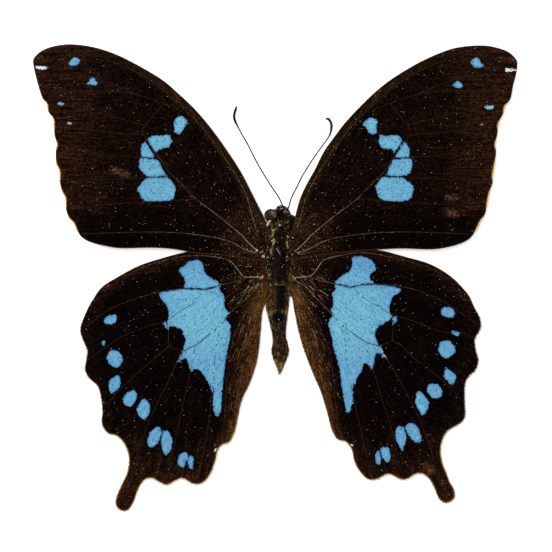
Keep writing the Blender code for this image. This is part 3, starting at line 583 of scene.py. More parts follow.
# %% The shape of a wing, as a height over its outline
SHEET_THICKNESS = 0.1
FORE_ROOT_HEIGHT, FORE_ARCH = 4.65, 0.75
HIND_ROOT_HEIGHT, HIND_ARCH, HIND_DROOP = 3.85, 0.3, 0.5
FOLD_DEPTH, FOLD_WIDTH = 0.12, 0.7
RIDGE_RISE, RIDGE_WIDTH = 0.05, 0.16
WAVE_DEPTH, WAVE_LENGTH = 0.07, 5.0


def fore_height(x, y):
    """The forewing solid's middle surface: a low arch from root to tip."""
    reach = np.minimum(1, np.hypot(x - BODY_AXIS_X, y - 6.0) / 54)
    return FORE_ROOT_HEIGHT + FORE_ARCH * np.sin(np.pi * 0.85 * reach)


def hind_height(x, y):
    """The hindwing solid's middle surface: a low arch that droops to the body and to the tail."""
    away = np.abs(x - BODY_AXIS_X)
    arch = HIND_ARCH * np.sin(np.pi * np.minimum(1, away / 36))
    droop = HIND_DROOP * np.maximum(0, -y / 40) ** 1.5
    fold = 0.9 * np.exp(-(away - 2.3) / 2.2) * np.clip((1 - y) / 5, 0, 1)
    return HIND_ROOT_HEIGHT + arch - droop - fold


def waviness(spots, length, seed):
    """Smooth noise over flat spots, about -1 to 1."""
    return np.array([noise.noise((x / length, y / length, seed)) for x, y in spots])


HEIGHTS = {"forewing": fore_height, "hindwing": hind_height}
print("heights in mm, 20 mm out:", {
    pair: round(float(height(20.0, 0.0)), 2) for pair, height in HEIGHTS.items()})

# %% The points and triangles of a sheet
RIM_STEP = 0.3
VEIN_ROW_STEP = 0.45
MARK_STEP = 0.3
FILL_STEP = 0.55
ROW_SHARE = 0.87


def sheet_spots(rim, veins, marks):
    """Flat spots for a wing's mesh: its rim first, then vein rows, marking outlines and an even fill."""
    rows = []
    for line in veins:
        row = smooth_line(line, VEIN_ROW_STEP)
        ahead = np.gradient(row, axis=0)
        side = np.stack([-ahead[:, 1], ahead[:, 0]], axis=1)
        side *= RIDGE_WIDTH / np.maximum(np.linalg.norm(side, axis=1, keepdims=True), 1e-9)
        rows += [row, row + side, row - side]
    for mark in marks:
        ring = smooth_line(mark, MARK_STEP, closed=True)
        centre = ring.mean(axis=0)
        rows += [ring, centre + (ring[::2] - centre) * 0.55, centre[None]]
    low, high = rim.min(axis=0), rim.max(axis=0)
    across = np.arange(low[0], high[0], FILL_STEP)
    for k, y in enumerate(np.arange(low[1], high[1], FILL_STEP * ROW_SHARE)):
        rows.append(np.stack([across + FILL_STEP / 2 * (k % 2), np.full(len(across), y)], axis=1))
    spots = np.vstack(rows)
    spots = spots[is_inside(spots, rim)]
    spots = spots[gap_to(spots, close(rim)) > RIM_STEP * 0.6]
    return np.vstack([rim, spots])


def triangles_of(spots, rim_count):
    """Triangles that fill the rim, all anticlockwise, and the spots that they use."""
    given = [Vector(spot) for spot in spots]
    flat, _, faces, _, _, _ = delaunay_2d_cdt(given, [], [list(range(rim_count))], 1, 1e-6)
    flat = np.array([tuple(v) for v in flat])
    faces = np.array([face for face in faces if len(face) == 3])
    a, b, c = (flat[faces[:, k]] for k in range(3))
    turned = (b[:, 0] - a[:, 0]) * (c[:, 1] - a[:, 1]) < (b[:, 1] - a[:, 1]) * (c[:, 0] - a[:, 0])
    faces[turned] = faces[turned][:, ::-1]
    used = np.unique(faces)
    renumber = np.full(len(flat), -1)
    renumber[used] = np.arange(len(used))
    return flat[used], renumber[faces]


def two_sided(name, spots, triangles, middle, thickness):
    """A closed thin sheet: a top, an underside and the narrow wall between their rims."""
    count = len(spots)
    edges = np.vstack([triangles[:, [0, 1]], triangles[:, [1, 2]], triangles[:, [2, 0]]])
    keys = {tuple(edge) for edge in edges.tolist()}
    rim = [(a, b) for a, b in keys if (b, a) not in keys]
    walls = [(b, a, a + count, b + count) for a, b in rim]
    places = []
    for sign in (1, -1):
        places += [in_frame(x, y, z + sign * thickness / 2) for (x, y), z in zip(spots, middle)]
    faces = triangles.tolist() + (triangles[:, ::-1] + count).tolist() + walls
    mesh = bpy.data.meshes.new(name)
    mesh.from_pydata(places, [], faces)
    mesh.shade_smooth()
    mesh.set_sharp_from_angle(angle=math.radians(60))
    made = bpy.data.objects.new(name, mesh)
    bpy.context.scene.collection.objects.link(made)
    return made


def store(mesh, name, values):
    """Keep one number, or one direction, at each point of a mesh."""
    kind, field = ("FLOAT_VECTOR", "vector") if values.ndim == 2 else ("FLOAT", "value")
    mesh.attributes.new(name, kind, "POINT").data.foreach_set(field, values.astype(np.float32).ravel())


# %% [markdown]
# What a shader needs to know about a place on the wing is stored at the mesh's points: the distances,
# how brown the ground is there, the direction in which scales and streaks run, and how many hairs
# and dust grains lie there. They ride with the surface, so they look the same from every side.

# %% What each place on a wing is like
FLOW_CENTRE = {"forewing": (2.0, 6.0), "hindwing": (4.5, 3.0)}
HAIR_CENTRE = {"forewing": (1.0, 5.5), "hindwing": (0.8, 3.0)}
FORE_NOTCHES = [(39.8, 29.7, 0.7), (38.7, 26.8, 0.8), (38.2, 23.2, 0.8), (37.8, 18.7, 1.7), (36.9, 13.8, 1.5),
                (35.3, 9.3, 1.4)]
INNER_LINE = {"left": [(-4.5, -3), (-7, -8), (-8.2, -12), (-8.8, -18), (-9.2, -24), (-9.9, -29)],
              "right": [(4.8, -2.5), (7.6, -7.5), (9.3, -12.5), (10.3, -17), (10.9, -22), (11.6, -28)]}
WHITE_TIP = {"left": (41.9, 36.5), "right": (41.0, 36.5)}
WHITE_SPECK = {"left": (10.7, -30.1), "right": (13.3, -29.4)}
TURN_TO_MM = 22
SCUFFS = {"left": [(-28.8, 19.0, -26.0, 17.9, 0.5)],
          "right": [(30.0, 11.4, 31.4, 11.0, 0.6), (29.9, 13.9, 30.9, 13.9, 0.5),
                    (26.1, -33.0, 26.9, -33.9, 0.55)]}


def flow_of(wing, x, y):
    """Across and along coordinates, in millimetres, that follow the run of the veins."""
    pair = wing.split("_")[0]
    cx, cy = FLOW_CENTRE[pair]
    across = np.arctan2(y - cy, x - cx) * TURN_TO_MM
    if pair == "forewing":
        outer = ease(x, 20, 27)
        across = across * (1 - outer) + y * outer
    return np.stack([across, np.hypot(x - cx, y - cy), np.zeros(len(x))], axis=1)


def inner_depth(wing, x, y):
    """How far a hindwing's place lies on the body's side of its bare inner part."""
    side = wing.split("_")[1]
    line = np.array(INNER_LINE[side]) * (SIGNS[side], 1)
    return np.interp(-y, -line[:, 1], line[:, 0]) - x


def brownness(wing, x, y, spots, edge):
    """How brown the ground is, from 0, black, to 1, ochre."""
    root = np.hypot(x - 2.5, y - (6.0 if "fore" in wing else 0.0))
    base = 0.24 * ease(root, 11, 3) * (1 + 0.9 * waviness(spots, 1.5, 2.0))
    if "fore" in wing:
        outer = 0.22 * ease(x, 25, 36) * (0.3 + 0.7 * ease(y, 4, 14))
        return np.clip(0.22 + base + outer - 0.18 * ease(y, 13, 9) * ease(x, 8, 16), 0, 1)
    streaks = 1 + 0.35 * waviness(flow_of(wing, x, y)[:, :2] * (1, 0.12), 0.5, 4.0)
    inner = ease(inner_depth(wing, x, y), -1.2, 2.4) * ease(y, 0.5, -3) * streaks
    low = 0.2 * ease(y, -22, -33) + 0.1 * ease(y, -33, -37)
    outer = 0.12 * ease(edge, 4, 0.6)
    front = 0.2 * ease(edge, 2.6, 0.8) * ease(y, -9, -3)
    margin = 0.14 * ease(edge, 2.2, 0.8) * ease(y, -6, -10)
    return np.clip(0.08 + base * 0.8 + (0.42 + margin) * inner + low + outer + front, 0, 1)


def fullness(wing, x, y):
    """How thickly hair lies on the wing, from 0 to 1."""
    if "fore" in wing:
        return ease(np.hypot(x - 2.5, (y - 6.0) * 0.9), 9.5, 3.0)
    inner = ease(inner_depth(wing, x, y), -0.5, 1.5) * ease(y, 0, -3) * (0.3 + 0.7 * ease(y, -30, -12))
    return np.maximum(ease(np.hypot(x - 2.5, y), 8, 2.5) * ease(y, 2.5, -0.5), inner)


def blueness(wing, x, y):
    """How cyan a marking is, from 0, periwinkle, to 1, and how white."""
    side = wing.split("_")[1]
    if "fore" in wing:
        tip_x, tip_y = WHITE_TIP[side]
        cyan = 0.62 + 0.25 * ease(y, 21.5, 23.5) * ease(x, 22.6, 21.6)
        frost = 0.9 * ease(np.hypot(x - tip_x, (y - tip_y) * 1.5), 2.4, 1.0)
        return cyan, np.maximum(frost, 0.2 * ease(x, 34.5, 36.0) * ease(y, 32.0, 31.0))
    speck_x, speck_y = WHITE_SPECK[side]
    core = ease(np.hypot(x - 13.5, (y + 7.0) * 0.8), 7.5, 2.0)
    lobe = 0.38 * ease(y, -0.5, 2.5) * (1 if side == "right" else 0.6)
    return 0.4 + 0.5 * core - lobe, 0.7 * ease(np.hypot(x - speck_x, y - speck_y), 1.5, 0.9)


def leading_edge(wing):
    """The part of a forewing's outline from its root to its tip, along the front."""
    ring, sign = RIMS[wing], SIGNS[wing.split("_")[1]]
    start = int(np.argmin(np.hypot(sign * ring[:, 0] - 2.5, ring[:, 1] - 9.0)))
    tip = int(np.argmax(sign * ring[:, 0]))
    count = -sign * (tip - start) % len(ring)
    return [ring[(start - sign * k) % len(ring)] for k in range(count + 1)]


print("front edge of a forewing:", len(leading_edge("forewing_left")), "points")

# %% Build one dressed wing sheet
def marking_gap(spots, marks):
    """How far each spot is from the nearest marking's outline, below 0 inside it."""
    nearest = np.full(len(spots), FAR)
    for outline in marks:
        ring = smooth_line(outline, MARK_STEP, closed=True)
        gap = gap_to(spots, close(ring))
        nearest = np.minimum(nearest, np.where(is_inside(spots, ring), -gap, gap))
    return nearest


def wing_sheet(wing):
    """A wing's sheet with everything that its finish, hair and dust need to know."""
    pair, side = wing.split("_")
    sign = SIGNS[side]
    rim = smooth_line(RIMS[wing], RIM_STEP, closed=True)
    veins = [line for line, *_ in VEINS[wing].values()]
    spots, triangles = triangles_of(sheet_spots(rim, veins, MARKS[wing]), len(rim))
    x, y = sign * spots[:, 0], spots[:, 1]
    vein = np.min([gap_to(spots, smooth_line(line, VEIN_ROW_STEP)) for line in veins], axis=0)
    fold = np.min([gap_to(spots, np.array(line)) for line in FOLDS[wing]], axis=0)
    edge = gap_to(spots, close(rim))
    mark = marking_gap(spots, MARKS[wing])

    # The sheet's height, steady at the rim so that it meets the frame's edge
    middle = HEIGHTS[pair](*spots.T) - FOLD_DEPTH * np.exp(-(fold / FOLD_WIDTH) ** 2) * ease(edge, 0, 0.6)
    middle += RIDGE_RISE * np.exp(-(vein / RIDGE_WIDTH) ** 2) * ease(edge, 0, 1.5)
    middle += WAVE_DEPTH * waviness(spots, WAVE_LENGTH, 3.0 + sign) * ease(edge, 0, 1.5)
    made = two_sided(f"{wing}_sheet", spots, triangles, middle, SHEET_THICKNESS)

    # Lines, edges and rubbed places
    costa, gold = np.full(len(x), FAR), 0.46 + 0.12 * waviness(spots, 0.8, 6.0)
    gold += 0.13 * ease(y, -14, -7) * ease(edge, 0.8, 2.2)
    pale_edge, clear = 0.4 * ease(y, -24, -29), ease(vein, 0.05, 0.2)
    if pair == "forewing":
        costa, gold = gap_to(spots, smooth_line(leading_edge(wing), 0.5)), np.full(len(x), 0.27)
        notch = np.min([np.hypot(x - nx, y - ny) / size for nx, ny, size in FORE_NOTCHES], axis=0)
        pale_edge, clear = ease(notch, 1.3, 0.6), ease(vein, 0.12, 0.35)
    scuff = np.zeros(len(x))
    for ax, ay, bx, by, size in SCUFFS[side]:
        rubbed = ease(gap_to(spots, np.array([(ax, ay), (bx, by)])), size * 1.6, size * 0.1)
        scuff = np.maximum(scuff, rubbed)
    cyan, frost = blueness(wing, x, y)

    # Hair fans out from the wing's root, and dust is thickest there and rare on the blue
    cx, cy = HAIR_CENTRE[pair]
    lie = np.stack([sign * (x - cx), y - cy, np.zeros(len(x))], axis=1)
    lie /= np.maximum(np.linalg.norm(lie, axis=1, keepdims=True), 1e-6)
    root = np.hypot(x - 2.5, y - 3.0)
    dusty = (0.45 + 0.5 * ease(root, 26, 10) + 0.9 * ease(root, 12, 5)) * (1 - 0.93 * ease(mark, 0.1, -0.1))
    both_sides = {
        "mark": mark, "vein": vein, "fold": fold, "edge": edge, "costa": costa + 0.9 * ease(x, 22, 33),
        "brown": brownness(wing, x, y, spots, edge), "flow": flow_of(wing, x, y), "lie": lie,
        "pale_edge": pale_edge, "cyan": cyan, "frost": frost, "scuff": scuff, "gold": gold}
    top_only = {"cover": fullness(wing, x, y) * clear * ease(edge, 0.2, 1.0), "dusty": dusty}
    for name, values in {**both_sides, **top_only}.items():
        store(made.data, name, np.concatenate([values, values * (name in both_sides)]))
    store(made.data, "under", np.repeat([0.0, 1.0], len(x)))
    return made


sheets = {wing: wing_sheet(wing) for wing in WINGS}
print("sheets:", {wing: len(made.data.polygons) for wing, made in sheets.items()})

# %% [markdown]
# ## The finish of the wings
# Butterfly scales are flat chitin plates about a tenth of a millimetre wide, laid like roof tiles. They
# are matt and nearly black here, blue in the markings. At this size they can't be seen one by one, so the
# pattern draws them at 0.22 mm, just coarse enough to show as grain and as frayed edges.

# %% Wing scale material
SCALE_SIZE = 0.22
STREAK_WIDTH = 0.3
STREAK_LENGTH = 4.0
GROUND_TONES = ((0.0, "#030100"), (0.25, "#0a0402"), (0.5, "#21110a"), (0.75, "#40240f"), (1.0, "#62441e"))
WING_FACTS = ("mark", "vein", "fold", "edge", "costa", "brown", "pale_edge", "scuff", "cyan", "frost",
              "under")


def wing_material():
    """Dark scales with blue fields, the lines of veins and edges, and painted shade along the folds."""
    made, tree, shader = start_material("chitin wing scales, matt")
    place = add_node(tree, "ShaderNodeTexCoord").outputs["Object"]
    spot = add_node(tree, "ShaderNodeVectorMath", {"operation": "SCALE", "Scale": 1 / MM}, {0: place})
    flow = add_node(tree, "ShaderNodeAttribute", {"attribute_name": "flow"}).outputs["Vector"]
    facts = {name: add_node(tree, "ShaderNodeAttribute", {"attribute_name": name}).outputs["Fac"]
             for name in WING_FACTS}
    scale = add_node(tree, "ShaderNodeTexVoronoi", {"Scale": 1 / SCALE_SIZE}, {"Vector": spot})
    grain = add_node(tree, "ShaderNodeSeparateColor", {}, {"Color": scale.outputs["Color"]}).outputs
    streak_size = (1 / STREAK_WIDTH, 1 / STREAK_LENGTH, 1)
    streak_at = add_node(tree, "ShaderNodeVectorMath", {"operation": "MULTIPLY", 1: streak_size}, {0: flow})
    streak, blotch, fray = (
        add_node(tree, "ShaderNodeTexNoise", {"Scale": size, "Detail": detail, "Roughness": rough}, {
            "Vector": where})
        for where, size, detail, rough in (
            (streak_at, 1.0, 4.0, 0.65), (spot, 0.35, 3.0, 0.5), (spot, 1.7, 2.0, 0.5)))

    # How far each pattern swings, and what the swings are added to
    swings = {name: add_node(tree, "ShaderNodeMath", {
                  "operation": "MULTIPLY_ADD", 1: span, 2: start}, {0: source})
              for name, source, span, start in (
                  ("streaks", streak, 1.2, -0.6), ("grains", grain[0], 0.44, -0.22),
                  ("blotches", blotch, 0.3, -0.15), ("rough", grain[1], 0.2, -0.03),
                  ("wander", fray, 0.3, -0.14), ("tint", grain[2], 0.75, 0.0))}
    sums = {"brown": ("streaks", "grains", "blotches"), "mark": ("rough", "wander"), "cyan": ("blotches",)}
    for name, parts in sums.items():
        for part in parts:
            facts[name] = add_node(tree, "ShaderNodeMath", {"operation": "ADD"}, {
                0: facts[name], 1: swings[part]})

    # Where each line or tint shows: from and to which value, and how strongly at either end
    masks = {}
    for name, source, low, high, at_low, at_high, kind in (
            ("vein", facts["vein"], 0.03, 0.14, 0.45, 0.0, "SMOOTHSTEP"),
            # painted shade: the fold row darkens the scale colour along the creases
            ("fold", facts["fold"], 0.04, 0.24, 0.88, 0.0, "SMOOTHSTEP"),
            ("costa", facts["costa"], 1.2, 1.9, 0.55, 0.0, "SMOOTHSTEP"),
            ("edge", facts["edge"], 0.05, 0.2, 0.8, 0.0, "SMOOTHSTEP"),
            ("olive", streak, 0.38, 0.68, 0.0, 1.0, "LINEAR"),
            ("spotty", grain[1], 0.3, 1.0, 0.0, 1.0, "LINEAR"),
            ("field", facts["mark"], -0.02, 0.05, 1.0, 0.0, "LINEAR"),
            ("rim", facts["mark"], -0.35, 0.0, 0.0, 0.65, "LINEAR"),
            ("ray", streak, 0.46, 0.7, 0.0, 0.4, "LINEAR"),
            ("dark", grain[0], 0.8, 0.95, 0.0, 0.65, "LINEAR")):
        masks[name] = add_node(tree, "ShaderNodeMapRange", {
            "interpolation_type": kind, "From Min": low, "From Max": high, "To Min": at_low,
            "To Max": at_high}, {"Value": source})
    rubbed = add_node(tree, "ShaderNodeMath", {"operation": "MULTIPLY"}, {
        0: facts["scuff"], 1: masks["spotty"]})
    beneath = add_node(tree, "ShaderNodeMath", {"operation": "MULTIPLY", 1: 0.45}, {0: facts["under"]})

    # Colours that run from one to another
    ground = add_node(tree, "ShaderNodeValToRGB", {}, {"Fac": facts["brown"]})
    set_ramp(ground, GROUND_TONES)
    olive, hue, edge_tone = (
        add_node(tree, "ShaderNodeMix", {
            "data_type": "RGBA", 6: linear(first), 7: linear(last)}, {0: share}).outputs[2]
        for share, first, last in (
            (masks["olive"], "#0c0604", "#3e2a16"), (facts["cyan"], "#6296c6", "#78c1d1"),
            (facts["pale_edge"], "#4a2e12", "#d99f1f")))

    # Blue scales with pale rays, dark single scales, a deeper rim and white tips
    blue = lay_over(tree, hue, (
        (swings["tint"], "#4f8db9"), (masks["ray"], "#9ad6e0"), (masks["dark"], "#2b5c7c"),
        (masks["rim"], "#4680b6"), (facts["frost"], "#e4eeec")))

    # From the ground up: brown veins, painted shade along the folds, an olive front edge, rubbed places, the
    # blue fields, a thin line along the edge, yellow in the forewing's notches, and a plainer brown for the
    # underside
    colour = lay_over(tree, ground.outputs[0], (
        (masks["vein"], "#3a2413"), (masks["fold"], "#070302"), (masks["costa"], olive), (rubbed, "#6e4a33"),
        (masks["field"], blue), (masks["edge"], edge_tone), (beneath, "#4a3826")))
    relief = add_node(tree, "ShaderNodeBump", {"Strength": 0.35, "Distance": 0.02 * MM}, {
        "Height": scale.outputs["Distance"]})
    tree.links.new(colour, shader.inputs["Base Color"])
    tree.links.new(relief.outputs[0], shader.inputs["Normal"])
    shader.inputs["Roughness"].default_value = 0.8
    shader.inputs["Specular IOR Level"].default_value = 0.015
    return made


wing_finish = wing_material()
for wing, sheet in sheets.items():
    sheet.data.materials.append(wing_finish)
    place_piece(sheet, wing)
print("wing material nodes:", len(wing_finish.node_tree.nodes))

# %% [markdown]
# ## Trees that grow the small things
# Hairs, dust grains and ringed feelers come by the thousand and all differ. They are grown by node trees
# over the dressed pieces, which hand them their direction, thickness of cover and tone, and are then
# turned into plain meshes. One tree serves all hair, from the fur on the back to the wing's fringe.

# %% Helpers for trees
def start_tree(name, numbers, counts):
    """A geometry tree with named inputs, after the geometry itself, and its group input's sockets."""
    tree = bpy.data.node_groups.new(name, "GeometryNodeTree")
    kinds = {"Geometry": "NodeSocketGeometry", **dict.fromkeys(numbers, "NodeSocketFloat"),
             **dict.fromkeys(counts, "NodeSocketInt"), "Material": "NodeSocketMaterial"}
    for label, kind in kinds.items():
        tree.interface.new_socket(name=label, in_out="INPUT", socket_type=kind)
    tree.interface.new_socket(name="Geometry", in_out="OUTPUT", socket_type="NodeSocketGeometry")
    return tree, add_node(tree, "NodeGroupInput").outputs


def end_tree(tree, grown, material):
    """Join what was grown into one mesh, dress it and hand it out."""
    joined = add_node(tree, "GeometryNodeRealizeInstances", {}, {"Geometry": grown})
    dressed = add_node(tree, "GeometryNodeSetMaterial", {}, {"Geometry": joined, "Material": material})
    add_node(tree, "NodeGroupOutput", {}, {0: dressed})


def settle(made):
    """Turn an object's modifiers into its own mesh."""
    graph = bpy.context.evaluated_depsgraph_get()
    mesh = bpy.data.meshes.new_from_object(
        made.evaluated_get(graph), preserve_all_data_layers=True, depsgraph=graph)
    made.modifiers.clear()
    mesh.name = made.name
    made.data = mesh
    return made


def grow(name, mesh, tree, settings):
    """Run a tree over a copy of a mesh and keep what it makes as a plain mesh object."""
    made = bpy.data.objects.new(name, mesh.copy())
    bpy.context.scene.collection.objects.link(made)
    modifier = made.modifiers.new("grow", "NODES")
    modifier.node_group = tree
    for item in tree.interface.items_tree:
        if item.in_out == "INPUT" and item.name in settings:
            modifier[item.identifier] = settings[item.name]
    return settle(made)


def points_of(mesh, kind="vertices", field="co"):
    """The three numbers that a mesh keeps at each point, such as its place in metres."""
    flat = np.empty(len(mesh.vertices) * 3, np.float32)
    getattr(mesh, kind).foreach_get(field, flat)
    return flat.reshape(-1, 3)


def spots_of(mesh):
    """A mesh's points in measured millimetres."""
    return points_of(mesh).astype(float) / MM - (SHIFT, 0, 0)


print("joints of a thread:", len(smooth_line([(0, 0), (3, 4)], 0.5)) - 1, "in 5 mm at steps of 0.5 mm")

# %% The hair tree
HAIR_SIDES = 3
HAIR_RINGS = 2
HAIR_NUMBERS = ["Density", "Length", "Width", "Lift", "Spread", "Contrast", "Rim Only"]
WALL_SLOPE = 0.5


def hair_tree():
    """Tapered, bent hairs. Each leans between the surface's normal and the way the coat lies."""
    tree, given = start_tree("hairs", HAIR_NUMBERS, ["Seed"])
    facts = {name: add_node(tree, "GeometryNodeInputNamedAttribute", {"data_type": kind, "Name": name})
             for name, kind in (("cover", "FLOAT"), ("gold", "FLOAT"), ("lie", "FLOAT_VECTOR"))}

    # Where hairs stand: over the covered parts, or only on the narrow wall of a wing's rim
    facing = add_node(tree, "ShaderNodeSeparateXYZ", {}, {0: add_node(tree, "GeometryNodeInputNormal")})
    steep = add_node(tree, "ShaderNodeMath", {"operation": "ABSOLUTE"}, {0: facing.outputs["Z"]})
    on_wall = add_node(tree, "ShaderNodeMath", {"operation": "LESS_THAN", 1: WALL_SLOPE}, {0: steep})
    anywhere = add_node(tree, "ShaderNodeMath", {"operation": "SUBTRACT", 0: 1.0}, {1: given["Rim Only"]})
    allowed = add_node(tree, "ShaderNodeMath", {"operation": "MAXIMUM"}, {0: on_wall, 1: anywhere})
    dense = given["Density"]
    for share in (facts["cover"], allowed):
        dense = add_node(tree, "ShaderNodeMath", {"operation": "MULTIPLY"}, {0: dense, 1: share})
    points = add_node(tree, "GeometryNodeDistributePointsOnFaces", {}, {
        "Mesh": given["Geometry"], "Density": dense, "Seed": given["Seed"]})

    # Most hairs keep the coat's tone and a few are far paler, as if they caught the light
    chance = add_node(tree, "FunctionNodeRandomValue", {"data_type": "FLOAT", 2: 0.0, 3: 1.0}, {
        "Seed": given["Seed"]})
    rare = add_node(tree, "ShaderNodeMath", {"operation": "POWER", 1: 4.0}, {0: chance.outputs[1]})
    rare = add_node(tree, "ShaderNodeMath", {"operation": "SUBTRACT", 1: 0.2}, {0: rare})
    swing = add_node(tree, "ShaderNodeMath", {"operation": "MULTIPLY"}, {0: rare, 1: given["Contrast"]})
    tone = add_node(tree, "ShaderNodeMath", {"operation": "ADD"}, {0: facts["gold"], 1: swing})
    toned = add_node(tree, "GeometryNodeStoreNamedAttribute", {
        "data_type": "FLOAT", "domain": "POINT", "Name": "tone"}, {"Geometry": points, "Value": tone})

    # How each hair points, and how long it is
    stray = add_node(tree, "FunctionNodeRandomValue", {
        "data_type": "FLOAT_VECTOR", 0: (-1, -1, -1), 1: (1, 1, 1)}, {"Seed": given["Seed"]})
    heading = facts["lie"]
    for push, strength in ((points.outputs["Normal"], given["Lift"]), (stray, given["Spread"])):
        scaled = add_node(tree, "ShaderNodeVectorMath", {"operation": "SCALE"}, {0: push, "Scale": strength})
        heading = add_node(tree, "ShaderNodeVectorMath", {"operation": "ADD"}, {0: heading, 1: scaled})
    turn = add_node(tree, "FunctionNodeAlignRotationToVector", {"axis": "Z"}, {"Vector": heading})
    turn = add_node(tree, "FunctionNodeAlignRotationToVector", {"axis": "Y", "pivot_axis": "Z"}, {
        "Rotation": turn, "Vector": points.outputs["Normal"]})
    size = add_node(tree, "FunctionNodeRandomValue", {"data_type": "FLOAT", 2: 0.6, 3: 1.3}, {
        "Seed": given["Seed"]})

    # One hair: a slim cone, bent back toward the surface
    thin = add_node(tree, "ShaderNodeMath", {"operation": "MULTIPLY", 1: 0.25}, {0: given["Width"]})
    cone = add_node(tree, "GeometryNodeMeshCone", {
        "fill_type": "NGON", "Vertices": HAIR_SIDES, "Side Segments": HAIR_RINGS}, {
        "Radius Bottom": given["Width"], "Radius Top": thin, "Depth": given["Length"]})
    along = add_node(tree, "ShaderNodeSeparateXYZ", {}, {0: add_node(tree, "GeometryNodeInputPosition")})
    share = add_node(tree, "ShaderNodeMath", {"operation": "DIVIDE"}, {
        0: along.outputs["Z"], 1: given["Length"]})
    curve = add_node(tree, "ShaderNodeMath", {"operation": "POWER", 1: 2.0}, {0: share})
    bend = add_node(tree, "ShaderNodeMath", {"operation": "MULTIPLY"}, {0: curve, 1: given["Length"]})
    bend = add_node(tree, "ShaderNodeMath", {"operation": "MULTIPLY", 1: -0.25}, {0: bend})
    aside = add_node(tree, "ShaderNodeCombineXYZ", {}, {"Y": bend})
    bent = add_node(tree, "GeometryNodeSetPosition", {}, {"Geometry": cone, "Offset": aside})
    hairs = add_node(tree, "GeometryNodeInstanceOnPoints", {}, {
        "Points": toned, "Instance": bent, "Rotation": turn, "Scale": size.outputs[1]})
    end_tree(tree, hairs, given["Material"])
    return tree


HAIRS = hair_tree()
print("hair tree nodes:", len(HAIRS.nodes))

# %% [markdown]
# Dust is what the eye reads as "old dry specimen": loose pale scales and crumbs, flat and round, a tenth of
# a millimetre across, thickest near the body. Veins and feelers are rods along a measured line, the
# first smooth, the second built of short rings.

# %% The dust, rod and ring trees
def dust_tree():
    """Flat little grains that lie on the covered side."""
    tree, given = start_tree("dust", ["Density", "Size"], ["Seed"])
    dusty = add_node(tree, "GeometryNodeInputNamedAttribute", {"data_type": "FLOAT", "Name": "dusty"})
    dense = add_node(tree, "ShaderNodeMath", {"operation": "MULTIPLY"}, {0: given["Density"], 1: dusty})
    points = add_node(tree, "GeometryNodeDistributePointsOnFaces", {}, {
        "Mesh": given["Geometry"], "Density": dense, "Seed": given["Seed"]})
    tone = add_node(tree, "FunctionNodeRandomValue", {"data_type": "FLOAT", 2: 0.0, 3: 1.0}, {
        "Seed": given["Seed"]})
    toned = add_node(tree, "GeometryNodeStoreNamedAttribute", {
        "data_type": "FLOAT", "domain": "POINT", "Name": "tone"}, {
        "Geometry": points, "Value": tone.outputs[1]})
    grain = add_node(tree, "GeometryNodeMeshIcoSphere", {"Subdivisions": 1}, {"Radius": given["Size"]})
    flat = add_node(tree, "GeometryNodeTransform", {"Scale": (1.0, 0.7, 0.35)}, {"Geometry": grain})
    spin = add_node(tree, "FunctionNodeRandomValue", {
        "data_type": "FLOAT_VECTOR", 0: (-0.3, -0.3, 0.0), 1: (0.3, 0.3, 6.28)}, {"Seed": given["Seed"]})
    size = add_node(tree, "FunctionNodeRandomValue", {"data_type": "FLOAT", 2: 0.3, 3: 1.25}, {
        "Seed": given["Seed"]})
    grains = add_node(tree, "GeometryNodeInstanceOnPoints", {}, {
        "Points": toned, "Instance": flat, "Rotation": spin, "Scale": size.outputs[1]})
    end_tree(tree, grains, given["Material"])
    return tree


def rod_tree():
    """A round rod along each line, as thick as the line's own radius says."""
    tree, given = start_tree("rods", [], ["Sides"])
    radius = add_node(tree, "GeometryNodeInputNamedAttribute", {"data_type": "FLOAT", "Name": "radius"})
    line = add_node(tree, "GeometryNodeMeshToCurve", {}, {"Mesh": given["Geometry"]})
    ring = add_node(tree, "GeometryNodeCurvePrimitiveCircle", {"Radius": 1.0}, {"Resolution": given["Sides"]})
    rod = add_node(tree, "GeometryNodeCurveToMesh", {"Fill Caps": True}, {
        "Curve": line, "Profile Curve": ring, "Scale": radius})
    end_tree(tree, rod, given["Material"])
    return tree


def ring_tree():
    """Short barrels set end to end along each line, like the joints of a feeler."""
    tree, given = start_tree("rings", ["Spacing"], ["Sides"])
    radius = add_node(tree, "GeometryNodeInputNamedAttribute", {"data_type": "FLOAT", "Name": "radius"})
    line = add_node(tree, "GeometryNodeMeshToCurve", {}, {"Mesh": given["Geometry"]})
    points = add_node(tree, "GeometryNodeCurveToPoints", {"mode": "LENGTH"}, {
        "Curve": line, "Length": given["Spacing"]})

    # One barrel, widest in its middle and a little longer than its spacing
    barrel = add_node(tree, "GeometryNodeMeshCylinder", {
        "fill_type": "NGON", "Side Segments": 4, "Radius": 1.0}, {
        "Vertices": given["Sides"], "Depth": given["Spacing"]})
    along = add_node(tree, "ShaderNodeSeparateXYZ", {}, {0: add_node(tree, "GeometryNodeInputPosition")})
    share = add_node(tree, "ShaderNodeMath", {"operation": "DIVIDE"}, {
        0: along.outputs["Z"], 1: given["Spacing"]})
    square = add_node(tree, "ShaderNodeMath", {"operation": "MULTIPLY"}, {0: share, 1: share})
    bulge = add_node(tree, "ShaderNodeMath", {"operation": "MULTIPLY_ADD", 1: -0.9, 2: 1.08}, {0: square})
    grown = add_node(tree, "ShaderNodeCombineXYZ", {"Z": 1.04}, {"X": bulge, "Y": bulge})
    place = add_node(tree, "ShaderNodeVectorMath", {"operation": "MULTIPLY"}, {
        0: add_node(tree, "GeometryNodeInputPosition"), 1: grown})
    barrel = add_node(tree, "GeometryNodeSetPosition", {}, {"Geometry": barrel, "Position": place})
    wide = add_node(tree, "ShaderNodeCombineXYZ", {"Z": 1.0}, {"X": radius, "Y": radius})
    rings = add_node(tree, "GeometryNodeInstanceOnPoints", {}, {
        "Points": points, "Instance": barrel, "Rotation": points.outputs["Rotation"], "Scale": wide})
    end_tree(tree, rings, given["Material"])
    return tree


